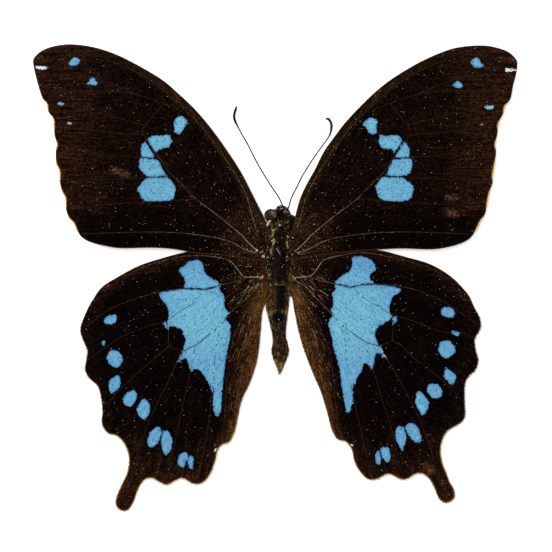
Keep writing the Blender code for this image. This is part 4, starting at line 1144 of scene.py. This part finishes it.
DUST, RODS, RINGS = dust_tree(), rod_tree(), ring_tree()
print("dust, rod and ring trees:", [len(tree.nodes) for tree in (DUST, RODS, RINGS)])

# %% [markdown]
# ## Finishes of hair, skin, eye and chitin
# The insect's hair runs from black through brown to straw gold, so hair and the skin under it read one
# tone at each point from the same ramp. Dry chitin shines only faintly, as old horn does.

# %% Materials with a tone of their own
COAT = ((0.0, "#030201"), (0.3, "#0e0704"), (0.5, "#2b1b0e"), (0.7, "#6b4b22"), (0.88, "#ac8a4e"),
        (1.0, "#ead9ab"))
DOWN = ((0.0, "#050201"), (0.35, "#160b06"), (0.6, "#40260f"), (0.85, "#8a6040"), (1.0, "#dcbfa2"))
VEIN_TONES = ((0.0, "#0a0502"), (0.3, "#1e1008"), (0.5, "#4c331d"), (0.75, "#857066"), (1.0, "#b9acab"))
DUST_TONES = ((0.0, "#24160d"), (0.5, "#5f4731"), (0.8, "#9a856e"), (1.0, "#ece3d6"))
CHITIN_TONES = ((0.0, "#050302"), (1.0, "#140b07"))
EDGE_TONES = ((0.0, "#3a2008"), (0.6, "#b8801c"), (1.0, "#f2d066"))
EYE_TONES = ((0.0, "#060302"), (0.4, "#2c1f17"), (0.7, "#5a4b3a"), (1.0, "#87846f"))


def toned_material(name, tones, roughness, shine, grain_size=0.0, in_blue=None):
    """A material that reads each point's tone from a ramp, mottled by a grain of the given size in mm.

    Where a vein crosses a blue marking, in_blue gives the pale and the dark of the scales that cover it.
    """
    made, tree, shader = start_material(name)
    tone = add_node(tree, "ShaderNodeAttribute", {"attribute_name": "tone"}).outputs["Fac"]
    if grain_size:
        place = add_node(tree, "ShaderNodeTexCoord")
        mottle = add_node(tree, "ShaderNodeTexNoise", {"Scale": 1 / (grain_size * MM), "Detail": 3.0}, {
            "Vector": place.outputs["Object"]})
        swing = add_node(tree, "ShaderNodeMath", {"operation": "MULTIPLY_ADD", 1: 1.1, 2: -0.55}, {0: mottle})
        tone = add_node(tree, "ShaderNodeMath", {"operation": "ADD"}, {0: tone, 1: swing})
        bump = add_node(tree, "ShaderNodeBump", {"Strength": 0.5, "Distance": 0.05 * MM}, {"Height": mottle})
        tree.links.new(bump.outputs[0], shader.inputs["Normal"])
    ramp = add_node(tree, "ShaderNodeValToRGB", {}, {"Fac": tone})
    set_ramp(ramp, tones)
    colour = ramp.outputs[0]
    if in_blue:
        pale, dark = (linear(part) for part in in_blue)
        blue = add_node(tree, "ShaderNodeAttribute", {"attribute_name": "blue"}).outputs["Fac"]
        broken = add_node(tree, "ShaderNodeMapRange", {"From Min": 0.45, "From Max": 0.53}, {"Value": mottle})
        scaled = add_node(tree, "ShaderNodeMix", {"data_type": "RGBA", 6: pale, 7: dark}, {0: broken})
        colour = lay_over(tree, colour, [(blue, scaled.outputs[2])])
    tree.links.new(colour, shader.inputs["Base Color"])
    shader.inputs["Roughness"].default_value = roughness
    shader.inputs["Specular IOR Level"].default_value = shine
    return made


HAIR = toned_material("insect hair, dry", COAT, 0.7, 0.08)
WING_DOWN = toned_material("hair scales of the wing root", DOWN, 0.75, 0.06)
SKIN = toned_material("body scales over chitin", COAT, 0.75, 0.1, 0.35)
VEIN = toned_material("wing vein, hollow chitin tube", VEIN_TONES, 0.6, 0.1, 0.5, ("#9fd2df", "#15303f"))
DUST_CRUMB = toned_material("loose scales and dust", DUST_TONES, 0.9, 0.05)
EDGE_GOLD = toned_material("yellow edge scales", EDGE_TONES, 0.75, 0.05)
CHITIN = toned_material("dark chitin, faint gloss", CHITIN_TONES, 0.5, 0.15, 0.2)


def eye_material():
    """A dried compound eye: grey-brown, with fine facets and a dusty bloom."""
    made, tree, shader = start_material("compound eye, dried")
    place = add_node(tree, "ShaderNodeTexCoord")
    facets = add_node(tree, "ShaderNodeTexVoronoi", {"Scale": 1 / (0.09 * MM), "Randomness": 0.35}, {
        "Vector": place.outputs["Object"]})
    bloom = add_node(tree, "ShaderNodeTexNoise", {"Scale": 1 / (0.6 * MM), "Detail": 5.0}, {
        "Vector": place.outputs["Object"]})
    tone = add_node(tree, "ShaderNodeAttribute", {"attribute_name": "tone"}).outputs["Fac"]
    patchy = add_node(tree, "ShaderNodeMath", {"operation": "MULTIPLY_ADD", 1: 1.5, 2: -0.75}, {0: bloom})
    patchy = add_node(tree, "ShaderNodeMath", {"operation": "ADD"}, {0: tone, 1: patchy})
    shell = add_node(tree, "ShaderNodeValToRGB", {}, {"Fac": patchy})
    set_ramp(shell, EYE_TONES)
    tree.links.new(shell.outputs[0], shader.inputs["Base Color"])
    dimple = add_node(tree, "ShaderNodeBump", {"Strength": 0.6, "Distance": 0.02 * MM, "invert": True}, {
        "Height": facets.outputs["Distance"]})
    tree.links.new(dimple.outputs[0], shader.inputs["Normal"])
    shader.inputs["Roughness"].default_value = 0.5
    shader.inputs["Specular IOR Level"].default_value = 0.06
    return made


EYE = eye_material()
print("finishes:", [made.name for made in (HAIR, WING_DOWN, SKIN, VEIN, DUST_CRUMB, EDGE_GOLD, CHITIN, EYE)])

# %% [markdown]
# ## Veins, fringe, hair and dust of the wings
# The veins stand proud of the sheet on both sides. Near the body they are bare and pale, farther out
# they are scaled over. A fringe of long scales stands along the wing's edge, pale in the
# forewing's notches. Long soft hairs lie over the roots and over the hindwings' inner parts.

# %% Vein rods
ROD_SIDES = 7
VEIN_LIFT = 0.09
ROD_SHARE = 0.5
DARK_IN_BLUE = ("radial", "cubital_1", "cubital_2", "media_3", "median")
BLUE_SHARE = {"stem": 0.68, "media_1": 0.12}
BOLDER_IN_BLUE = 0.4
STROKES = {
    "forewing_left": {
        "tuft_1": ([(-4.9, 8.6), (-4.6, 8.0), (-4.3, 7.4)], 0.12, 0.05, 0.9),
        "tuft_2": ([(-3.4, 8.2), (-3.25, 7.6), (-3.2, 7.0)], 0.1, 0.04, 0.85),
        "tuft_3": ([(-3.8, 6.2), (-3.4, 5.7), (-3.0, 5.2)], 0.1, 0.04, 0.8)},
    "forewing_right": {"tuft_1": ([(4.3, 8.2), (4.2, 7.6), (4.3, 7.0)], 0.09, 0.04, 0.8)},
    "hindwing_left": {"fibre": ([(-9.7, -0.8), (-9.6, -0.3), (-9.3, 0.1), (-8.7, 0.4)], 0.08, 0.07, 0.62)},
    "hindwing_right": {
        "streak_1": ([(3.7, -2.0), (4.2, -3.0), (4.7, -4.0), (5.4, -5.1), (6.1, -6.1)], 0.09, 0.04, 0.9),
        "streak_2": ([(4.6, -2.3), (5.1, -3.4), (5.5, -4.4)], 0.07, 0.04, 0.8)},
}


def line_mesh(name, rows):
    """Lines from their places in mm, whose points carry facts such as their radius and tone."""
    places, runs, facts = [], [], {}
    for row, values in rows:
        runs += [(len(places) + k, len(places) + k + 1) for k in range(len(row) - 1)]
        places += [in_frame(*spot) for spot in row]
        for key, value in values.items():
            facts.setdefault(key, []).append(np.full(len(row), value, float))
    mesh = bpy.data.meshes.new(name)
    mesh.from_pydata(places, runs, [])
    for key, value in facts.items():
        store(mesh, key, np.concatenate(value))
    return mesh


def inside_marks(spots, wing):
    """Whether each flat spot lies in one of a wing's blue markings, or between two that touch."""
    return marking_gap(spots, MARKS[wing]) < 0.12


def vein_rods(wing):
    """All veins of a wing as lines that carry their radius and tone, grown into rods."""
    pair, side = wing.split("_")
    rows = []
    for name, (line, thick, fine, tone) in {**VEINS[wing], **STROKES[wing]}.items():
        row = smooth_line(line, VEIN_ROW_STEP)
        share = np.linspace(0, 1, len(row))
        rim_gap = gap_to(row, close(RIMS[wing]))
        height = HEIGHTS[pair](*row.T) + VEIN_LIFT
        height += WAVE_DEPTH * waviness(row, WAVE_LENGTH, 3.0 + SIGNS[side]) * ease(rim_gap, 0, 1.5)
        in_blue = inside_marks(row, wing)
        dark = name in DARK_IN_BLUE and (pair == "forewing" or name == "radial")
        scaled_to = BLUE_SHARE.get(name, 1.0) if pair == "hindwing" else 1.0
        radius = ROD_SHARE * (thick + (fine - thick) * share ** 0.5) * MM
        kept = is_inside(row, RIMS[wing]) & (rim_gap > 0.1)
        rows.append((np.column_stack([row, height])[kept], {
            "radius": (radius * (1 + BOLDER_IN_BLUE * in_blue * (pair == "hindwing")))[kept],
            "tone": (tone * (1 - 0.55 * share ** 0.6))[kept],
            "blue": (in_blue & (share <= scaled_to))[kept] * (0.0 if dark else 1.0)}))
    return grow(f"{wing}_veins", line_mesh(f"{wing}_vein_lines", rows), RODS, {
        "Sides": ROD_SIDES, "Material": VEIN})


for wing in WINGS:
    rods = vein_rods(wing)
    place_piece(rods)
    print(rods.name, len(rods.data.polygons))

# %% [markdown]
# Every coat of hair is the same tree with other numbers, so they stand in one table: hairs per square
# metre, length and width in millimetres, how far they lift off the skin, how much they stray, and
# how far their tones differ. The densities are lower and the hairs thicker than the real ones, just enough
# of both to read as fur from a hand's width away.

# %% Kinds of hair
HAIR_KINDS = {
    "forewing": (60e6, 0.3, 0.035, 0.22, 0.6, 0.65),
    "hindwing": (13e6, 1.5, 0.03, 0.1, 0.15, 0.5),
    "fringe": (130e6, 0.2, 0.055, 1.0, 0.2, 0.3),
    "thorax": (95e6, 0.5, 0.035, 0.55, 0.6, 0.75),
    "lobe": (110e6, 0.45, 0.035, 0.6, 0.6, 0.55),
    "shield": (90e6, 0.22, 0.03, 0.4, 0.5, 0.5),
    "abdomen": (90e6, 0.36, 0.03, 0.25, 0.4, 0.6),
    "head": (130e6, 0.55, 0.035, 0.7, 0.6, 0.75),
    "palp": (100e6, 0.25, 0.025, 0.6, 0.4, 0.6),
    "leg": (9e6, 0.4, 0.025, 1.0, 0.2, 0.3),
}


def grow_hair(name, mesh, kind, seed, finish):
    """Hair of one kind over a mesh, with its random draws fixed by a seed."""
    density, length, width, lift, spread, contrast = HAIR_KINDS[kind]
    return grow(name, mesh, HAIRS, {
        "Density": density, "Length": length * MM, "Width": width * MM, "Lift": lift, "Spread": spread,
        "Contrast": contrast, "Rim Only": float(kind == "fringe"), "Seed": seed, "Material": finish})


print("kinds of hair:", list(HAIR_KINDS))

# %% Fringe, hair and dust on the wings
DUST_DENSITY = 1.9e6
DUST_SIZE = 0.054


def fringe_carrier(wing, sheet):
    """A copy of a wing's sheet whose cover says where its edge is fringed."""
    mesh = sheet.data.copy()
    y = spots_of(mesh)[:, 1]
    cover, gold = 0.8 * ease(y, -6, -9), 0.6 + 0.2 * ease(y, -22, -30)
    if "fore" in wing:
        cover, gold = np.empty(len(y), np.float32), np.full(len(y), 0.82)
        mesh.attributes["pale_edge"].data.foreach_get("value", cover)
    for name, values in (("cover", cover), ("gold", gold)):
        mesh.attributes[name].data.foreach_set("value", values.astype(np.float32))
    return mesh


for k, (wing, sheet) in enumerate(sheets.items()):
    down, edging = (WING_DOWN, EDGE_GOLD) if "fore" in wing else (HAIR, HAIR)
    hairs = grow_hair(f"{wing}_hairs", sheet.data, wing.split("_")[0], 11 + k, down)
    fringe = grow_hair(f"{wing}_fringe", fringe_carrier(wing, sheet), "fringe", 21 + k, edging)
    dust = grow(f"{wing}_dust", sheet.data, DUST, {
        "Density": DUST_DENSITY, "Size": DUST_SIZE * MM, "Seed": 31 + k, "Material": DUST_CRUMB})
    for made in (hairs, fringe, dust):
        place_piece(made)
    print(wing, "hairs, fringe, dust polygons:", [len(made.data.polygons) for made in (hairs, fringe, dust)])

# %% [markdown]
# ## The body
# Thorax, abdomen, head, palps and coiled tongue keep the form of their solids, smoothed by dividing each
# face again. Fur hides most of that form, so it carries the look: dark down the middle of the back, gold
# along the sides, and short and brown on the abdomen.

# %% Smooth copies of the solids, and their coats
def mesh_object(name, bm):
    """A smooth mesh object from a bmesh, which is let go."""
    mesh = bpy.data.meshes.new(name)
    bm.to_mesh(mesh)
    bm.free()
    mesh.shade_smooth()
    made = bpy.data.objects.new(name, mesh)
    bpy.context.scene.collection.objects.link(made)
    return made


def copy_of(node, name, levels):
    """A node's solid as a finer, smoother mesh."""
    bm = bmesh.new()
    bm.from_mesh(NODES[node].data)
    bmesh.ops.remove_doubles(bm, verts=bm.verts, dist=1e-6)
    bmesh.ops.join_triangles(bm, faces=bm.faces, angle_face_threshold=0.6, angle_shape_threshold=0.8)
    made = mesh_object(name, bm)
    finer = made.modifiers.new("finer", "SUBSURF")
    finer.levels = finer.render_levels = levels
    settle(made)
    low, high = (np.array(corner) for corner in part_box(node))
    spots = points_of(made.data)
    share = (spots - spots.min(axis=0)) / np.ptp(spots, axis=0)
    made.data.vertices.foreach_set("co", (low + share * (high - low)).astype(np.float32).ravel())
    made.data.materials.clear()
    made.data.shade_smooth()
    return made


def coat(mesh, tone, lie, cover):
    """Give each point of a body piece its tone, its cover of hair and the way the hair lies."""
    count = len(mesh.vertices)
    lie = np.stack([np.full(count, part, float) for part in lie], axis=1)
    lie = lie / np.maximum(np.linalg.norm(lie, axis=1, keepdims=True), 1e-6)
    for name, values in (("gold", tone), ("tone", tone), ("lie", lie), ("cover", cover)):
        store(mesh, name, values if name == "lie" else np.full(count, values, float))


def dress(made, node, tone, lie, cover, fur, finish):
    """Coat a body piece, give it its finish and its node's place, and grow its fur: name, kind and seed."""
    coat(made.data, tone, lie, cover)
    made.data.materials.append(finish)
    place_piece(made, node)
    name, kind, seed = fur
    hairs = grow_hair(name, made.data, kind, seed, HAIR)
    place_piece(hairs)
    print(made.name, len(made.data.polygons), name, len(hairs.data.polygons))


print("main pieces to dress:", [name for name in NODES if "wing" not in name])

# %% Thorax
GOLD_LINES = [
    ([(-0.45, 8.3), (-0.7, 7.4), (-0.4, 6.6)], 0.3, 0.72),
    ([(-0.35, 6.5), (-0.55, 5.6), (-0.8, 4.6)], 0.24, 0.66),
    ([(-0.8, 4.4), (-0.85, 3.9)], 0.24, 0.6), ([(1.95, 7.9), (1.75, 7.1)], 0.28, 0.6),
    ([(1.65, 6.5), (1.7, 6.0), (1.9, 5.4)], 0.26, 0.76), ([(2.2, 4.9), (2.6, 4.2)], 0.3, 0.5),
    ([(-1.1, 9.0), (-0.4, 8.9), (0.2, 8.7)], 0.5, 0.4), ([(-1.2, 1.4), (-0.9, 0.0)], 0.4, 0.36),
    ([(2.3, 1.4), (2.0, 0.0)], 0.4, 0.36), ([(-0.6, -0.5), (0.5, -0.95), (1.5, -0.5)], 0.2, 0.45),
]


def thorax_tone(spots):
    """Black over the middle, with two broken gold rows, a brown collar and a gold rim round the shield."""
    tone = np.zeros(len(spots))
    breaks = 0.8 + 0.9 * waviness(spots[:, :2], 0.5, 5.0)
    for line, width, strength in GOLD_LINES:
        near = ease(gap_to(spots[:, :2], np.array(line)), width, width * 0.3)
        tone = np.maximum(tone, strength * breaks * near)
    return 0.06 + 0.14 * waviness(spots[:, :2], 0.4, 9.0) + tone


thorax = copy_of("thorax", "thorax_body", 3)
spots = spots_of(thorax.data)
ahead = ease(spots[:, 1], 8.4, 9.3)
outward = 0.45 * np.clip((spots[:, 0] - 0.55) / 2, -1, 1)
lie = (outward * (1 - ahead), 0.8 * ahead - (1 - ahead), 0.05 * (1 - ahead) + 0.35 * ahead)
dress(thorax, "thorax", thorax_tone(spots), lie, ease(spots[:, 2], 0.6, 2.2),
      ("thorax_fur", "thorax", 41), SKIN)

# %% [markdown]
# Smaller things give the back its detail. The collar is three furry lobes that close the gap between the
# head and the wings, and a fourth lobe fills the right flank of the abdomen. The shield is a low dome
# at the rear of the thorax with a gold rim. And the hair is full of crumbs: pale specks that catch the
# light a little above the skin.

# %% Collar, shield and crumbs
def rank(place):
    """A number that orders places by height, then from rear to front, then from left to right."""
    return round(place.z * 1e4) * 10 + place.y + place.x * 1e-3


def egg_shape(name, centre, radii):
    """A smooth ellipsoid from its centre and half sizes, in measured millimetres."""
    bm = bmesh.new()
    bmesh.ops.create_uvsphere(bm, u_segments=36, v_segments=24, radius=1)

    # A new ball lists its faces in another order each time, and the fur is drawn face by face
    bm.verts.sort(key=lambda vert: rank(vert.co))
    bm.faces.sort(key=lambda face: rank(face.calc_center_median()))
    for vert in bm.verts:
        vert.co = in_frame(*(c + v * r for c, v, r in zip(centre, vert.co, radii)))
    return mesh_object(name, bm)


def crumbs_on(name, mesh, lift, amount, density, size, seed):
    """Grains scattered a little above a surface, where the hair ends."""
    raised = mesh.copy()
    places = points_of(mesh) + points_of(mesh, "vertex_normals", "vector") * np.float32(lift * MM)
    raised.vertices.foreach_set("co", places.ravel())
    store(raised, "dusty", amount)
    made = grow(name, raised, DUST, {
        "Density": density, "Size": size * MM, "Seed": seed, "Material": DUST_CRUMB})
    place_piece(made)
    print(name, len(made.data.polygons))


LOBES = {"collar_left": ((-0.85, 8.95, 4.25), (0.9, 0.9, 0.55), 0.42),
         "collar_middle": ((0.45, 9.15, 4.4), (1.0, 0.6, 0.55), 0.3),
         "collar_right": ((2.0, 8.25, 4.1), (0.9, 1.35, 0.5), 0.12),
         "flank_right": ((2.3, -2.3, 2.9), (0.4, 1.05, 0.3), 0.5)}
for k, (name, (centre, radii, tone)) in enumerate(LOBES.items()):
    lobe = egg_shape(name, centre, radii)
    spots = spots_of(lobe.data)
    tone = tone + 0.25 * waviness(spots[:, :2], 0.6, 8.0)
    lie = (0.35 * (spots[:, 0] - 0.5), 0.6, 0.3)
    dress(lobe, None, tone, lie, 1.0, (f"{name}_fur", "lobe", 61 + k), SKIN)

SHIELD_CENTRE, SHIELD_SIZE = (0.52, 0.75, 5.35), (1.15, 1.45, 0.95)
shield = egg_shape("shield", SHIELD_CENTRE, SHIELD_SIZE)
spots = spots_of(shield.data)
reach = np.hypot(*((spots - SHIELD_CENTRE) / SHIELD_SIZE)[:, :2].T)
tone = 0.16 + 0.4 * ease(reach, 0.88, 1.0) * ease(spots[:, 1], 0.6, -0.2)
dress(shield, None, tone, (0.0, -1.0, 0.1), 1.0, ("shield_fur", "shield", 65), SKIN)
spots = spots_of(thorax.data)
busy = 0.35 + 0.65 * ease(spots[:, 0], 1.2, 2.0) + 0.4 * ease(spots[:, 1], 7.5, 8.5)
busy = busy * ease(spots[:, 2], 1.0, 2.0)
crumbs_on("thorax_crumbs", thorax.data, 0.4, busy, 8e6, 0.06, 71)


# %% Abdomen
def abdomen_tone(spots):
    """Gold flanks and a dark back in front, then mottled grey-brown, then a golden tip."""
    x, y, _ = spots.T
    back = ease(np.abs(x - 0.7), 0.9, 0.35)
    along = np.interp(-y, [0, 1, 4.5, 5.4, 5.8, 6.4, 7.3, 7.8, 10, 12, 14, 15, 17],
                      [0.38, 0.4, 0.38, 0.4, 0.56, 0.48, 0.42, 0.4, 0.38, 0.42, 0.44, 0.66, 0.68])
    along = along + 0.07 * waviness(spots[:, :2], 0.3, 3.0)
    dark_spot = ease(np.hypot(x - 0.3, (y + 6.75) / 0.95), 1.15, 0.75)
    return along - 0.3 * back * ease(y, -5.6, -4.9) - 0.6 * dark_spot


abdomen = copy_of("abdomen", "abdomen_body", 2)
spots = spots_of(abdomen.data)
dress(abdomen, "abdomen", abdomen_tone(spots), (0.2 * (spots[:, 0] - 0.6), -1.0, 0.0),
      0.5 + 0.5 * ease(spots[:, 1], -9, -3), ("abdomen_fur", "abdomen", 42), SKIN)

# %% [markdown]
# The head is small and sits askew. A tuft of dark hair stands between the eyes, and a crescent of
# cream scales edges the left eye. The palps below are brushes of the same dark hair.

# %% Head, eyes, palps and tongue
EYE_BLOOM = [(-0.8, 11.4), (-0.1, 11.3), (-0.35, 10.7), (-0.8, 11.4)]
head = copy_of("head", "head_capsule", 2)
spots = spots_of(head.data)
lie = (0.7 * (spots[:, 0] - 0.9), 0.6 * (spots[:, 1] - 10.4), 0.3)
dress(head, "head", 0.12 + 0.15 * ease(spots[:, 1], 10.6, 9.7), lie, 1.0, ("head_fur", "head", 43), SKIN)
crumbs_on("head_crumbs", head.data, 0.4, np.full(len(spots), 1.0), 6e6, 0.09, 72)

for side in SIGNS:
    eye = copy_of(f"eye_{side}", f"eye_{side}_dome", 2)
    spots = spots_of(eye.data)
    # The left eye keeps a pale bloom; the right eye's tone is lowered by 0.2 as painted shade, as if it lay
    # in the head fur's shadow
    eye_bloom_and_shade = 0.42 * ease(gap_to(spots[:, :2], np.array(EYE_BLOOM)), 0.35, 0.1) if side == "left" else -0.2
    store(eye.data, "tone", 0.36 + eye_bloom_and_shade - 0.3 * ease(spots[:, 1], 10.7, 9.9))
    eye.data.materials.append(EYE)
    place_piece(eye, f"eye_{side}")
    palp = copy_of(f"palp_{side}", f"palp_{side}_limb", 1)
    dress(palp, f"palp_{side}", 0.25, (0.0, 1.0, 0.3), 1.0, (f"palp_{side}_fur", "palp", 44), SKIN)
tongue = copy_of("proboscis", "proboscis_coil", 1)
store(tongue.data, "tone", np.full(len(tongue.data.vertices), 0.5))
tongue.data.materials.append(CHITIN)
place_piece(tongue, "proboscis")
print("tongue:", len(tongue.data.polygons))

# %% [markdown]
# A few single marks stand out from the fur: the cream crescent under the left eye, cream scales on
# the collar, a pale stroke on the back, and the gnarled joints where the wings' stems meet the body. The
# marks are short rods, from their points, radius at either end and tone. The joints are lumpy balls, from
# their place, size and tone.

# %% Single marks
BODY_MARKS = {
    "crescent": ([(-0.9, 10.05, 4.85), (-1.2, 9.85, 4.9), (-1.45, 9.5, 4.85), (-1.6, 9.05, 4.75)],
                 0.13, 0.2, 0.95),
    "collar_bar": ([(-0.35, 9.25, 5.0), (0.3, 9.5, 5.05), (0.95, 9.8, 5.0)], 0.14, 0.1, 0.62),
    "collar_spot": ([(0.48, 9.08, 5.15), (0.68, 9.2, 5.15)], 0.14, 0.12, 1.0),
    "neck_spot": ([(-0.75, 8.25, 5.45), (-0.4, 8.22, 5.55)], 0.11, 0.08, 0.95),
    "side_dots_1": ([(2.0, 9.8, 4.85), (1.95, 9.5, 4.9)], 0.07, 0.05, 0.85),
    "side_dots_2": ([(2.05, 9.1, 4.95), (2.0, 8.6, 5.0)], 0.07, 0.05, 0.75),
    "abdomen_speck": ([(0.36, -7.3, 5.0), (0.44, -7.4, 5.0)], 0.07, 0.07, 1.0),
}
BACK_STROKE = {"back_stroke": ([(-0.05, 5.15, 6.6), (0.3, 4.6, 6.62), (0.7, 3.9, 6.6)], 0.05, 0.04, 0.9)}
JOINT_LUMPS = [(-3.4, 4.75, 0.18, 0.95), (-2.5, 4.5, 0.2, 0.72), (-2.8, 4.35, 0.12, 0.8),
               (-2.3, 3.7, 0.22, 0.92), (-2.1, 4.05, 0.15, 0.65), (-2.65, -0.05, 0.2, 0.75),
               (-2.4, 0.2, 0.13, 0.9), (-2.9, -0.3, 0.12, 0.6), (2.75, 4.0, 0.18, 0.6),
               (2.95, 0.1, 0.2, 0.75), (3.3, -0.2, 0.13, 0.8), (2.85, 6.95, 0.11, 0.9)]


def grow_marks(name, marks, finish):
    """Single marks as short rods."""
    rows = []
    for line, first, last, tone in marks.values():
        row = smooth_line(line, 0.12)
        rows.append((row, {"radius": np.linspace(first, last, len(row)) * MM, "tone": tone}))
    made = grow(name, line_mesh(f"{name}_lines", rows), RODS, {"Sides": 8, "Material": finish})
    place_piece(made)
    print(name, len(made.data.polygons))


grow_marks("body_marks", BODY_MARKS, HAIR)
grow_marks("back_stroke", BACK_STROKE, VEIN)

# %% Joints of the wings
bm = bmesh.new()
lump_tones = []
for x, y, size, tone in JOINT_LUMPS:
    height = float(HEIGHTS["forewing" if y > 2.5 else "hindwing"](x, y))
    for vert in bmesh.ops.create_icosphere(bm, subdivisions=3, radius=1)["verts"]:
        bulge = 1 + 0.9 * noise.noise(vert.co * 1.3 + Vector((x, y, 0)))
        spot = vert.co * bulge * size
        lump_tones.append(tone + 0.1 + 0.6 * noise.noise(vert.co * 3 + Vector((x, y, 0))))
        vert.co = in_frame(x + spot.x, y + spot.y, height + 0.25 + spot.z * 0.8)
joints = mesh_object("wing_joints", bm)
store(joints.data, "tone", np.array(lump_tones))
joints.data.materials.append(WING_DOWN)
place_piece(joints)
print("joints:", len(joints.data.polygons))

# %% [markdown]
# ## Antennae
# A swallowtail's antenna is a thread of some eighty short joints that thickens into a slim club. The
# left one ends upright, the right one hooks over. Their lines are those of the solids.

# %% Ringed antennae
ANTENNA_ROOT_HEIGHT, ANTENNA_RISE = 4.15, 1.7
ANTENNA_SHAFT, ANTENNA_CLUB = 0.12, 0.23
JOINT_LENGTH = 0.22
ANTENNAE = {
    "left": [(1.1, 12.15), (1.05, 12.6), (0.35, 14.1), (-1.0, 16.1), (-3.25, 19.8), (-5.1, 23.4),
             (-6.1, 25.1), (-7.0, 26.85), (-7.3, 27.5), (-7.4, 28.4), (-7.0, 29.8)],
    "right": [(1.75, 11.75), (2.15, 12.4), (2.6, 13.9), (3.6, 15.9), (4.6, 17.9), (6.1, 20.3), (7.7, 22.6),
              (9.2, 24.7), (9.6, 26.2), (9.5, 27.1), (9.0, 27.8), (8.7, 27.65)],
}
for side, route in ANTENNAE.items():
    row = smooth_line(route, 0.15)
    share = np.linspace(0, 1, len(row))
    rise = ANTENNA_ROOT_HEIGHT + ANTENNA_RISE * np.sin(np.pi * 0.6 * share)
    swell = ease(share, 0.78, 0.9) * ease(share, 1.02, 0.97)
    thread = ANTENNA_SHAFT + (ANTENNA_CLUB - ANTENNA_SHAFT) * swell
    mesh = line_mesh(f"antenna_{side}_line", [(np.column_stack([row, rise]), {"radius": thread * MM})])
    feeler = grow(f"antenna_{side}_rings", mesh, RINGS, {
        "Spacing": JOINT_LENGTH * MM, "Sides": 10, "Material": CHITIN})
    place_piece(feeler, f"antenna_{side}")
    print(feeler.name, len(feeler.data.polygons))

# %% [markdown]
# ## Legs
# The six legs are folded under the body and hidden from above. They are slim chitin tubes with short stiff
# spines, dressed so that a turned specimen shows them too.

# %% Legs with their spines
for pair in ("front", "middle", "hind"):
    for side, sign in SIGNS.items():
        node = f"leg_{pair}_{side}"
        leg = copy_of(node, f"{node}_limb", 1)
        dress(leg, node, 0.25, (0.4 * sign, -0.6, -0.2), ease(spots_of(leg.data)[:, 2], 0.5, 0.9),
              (f"{node}_spines", "leg", 51), CHITIN)
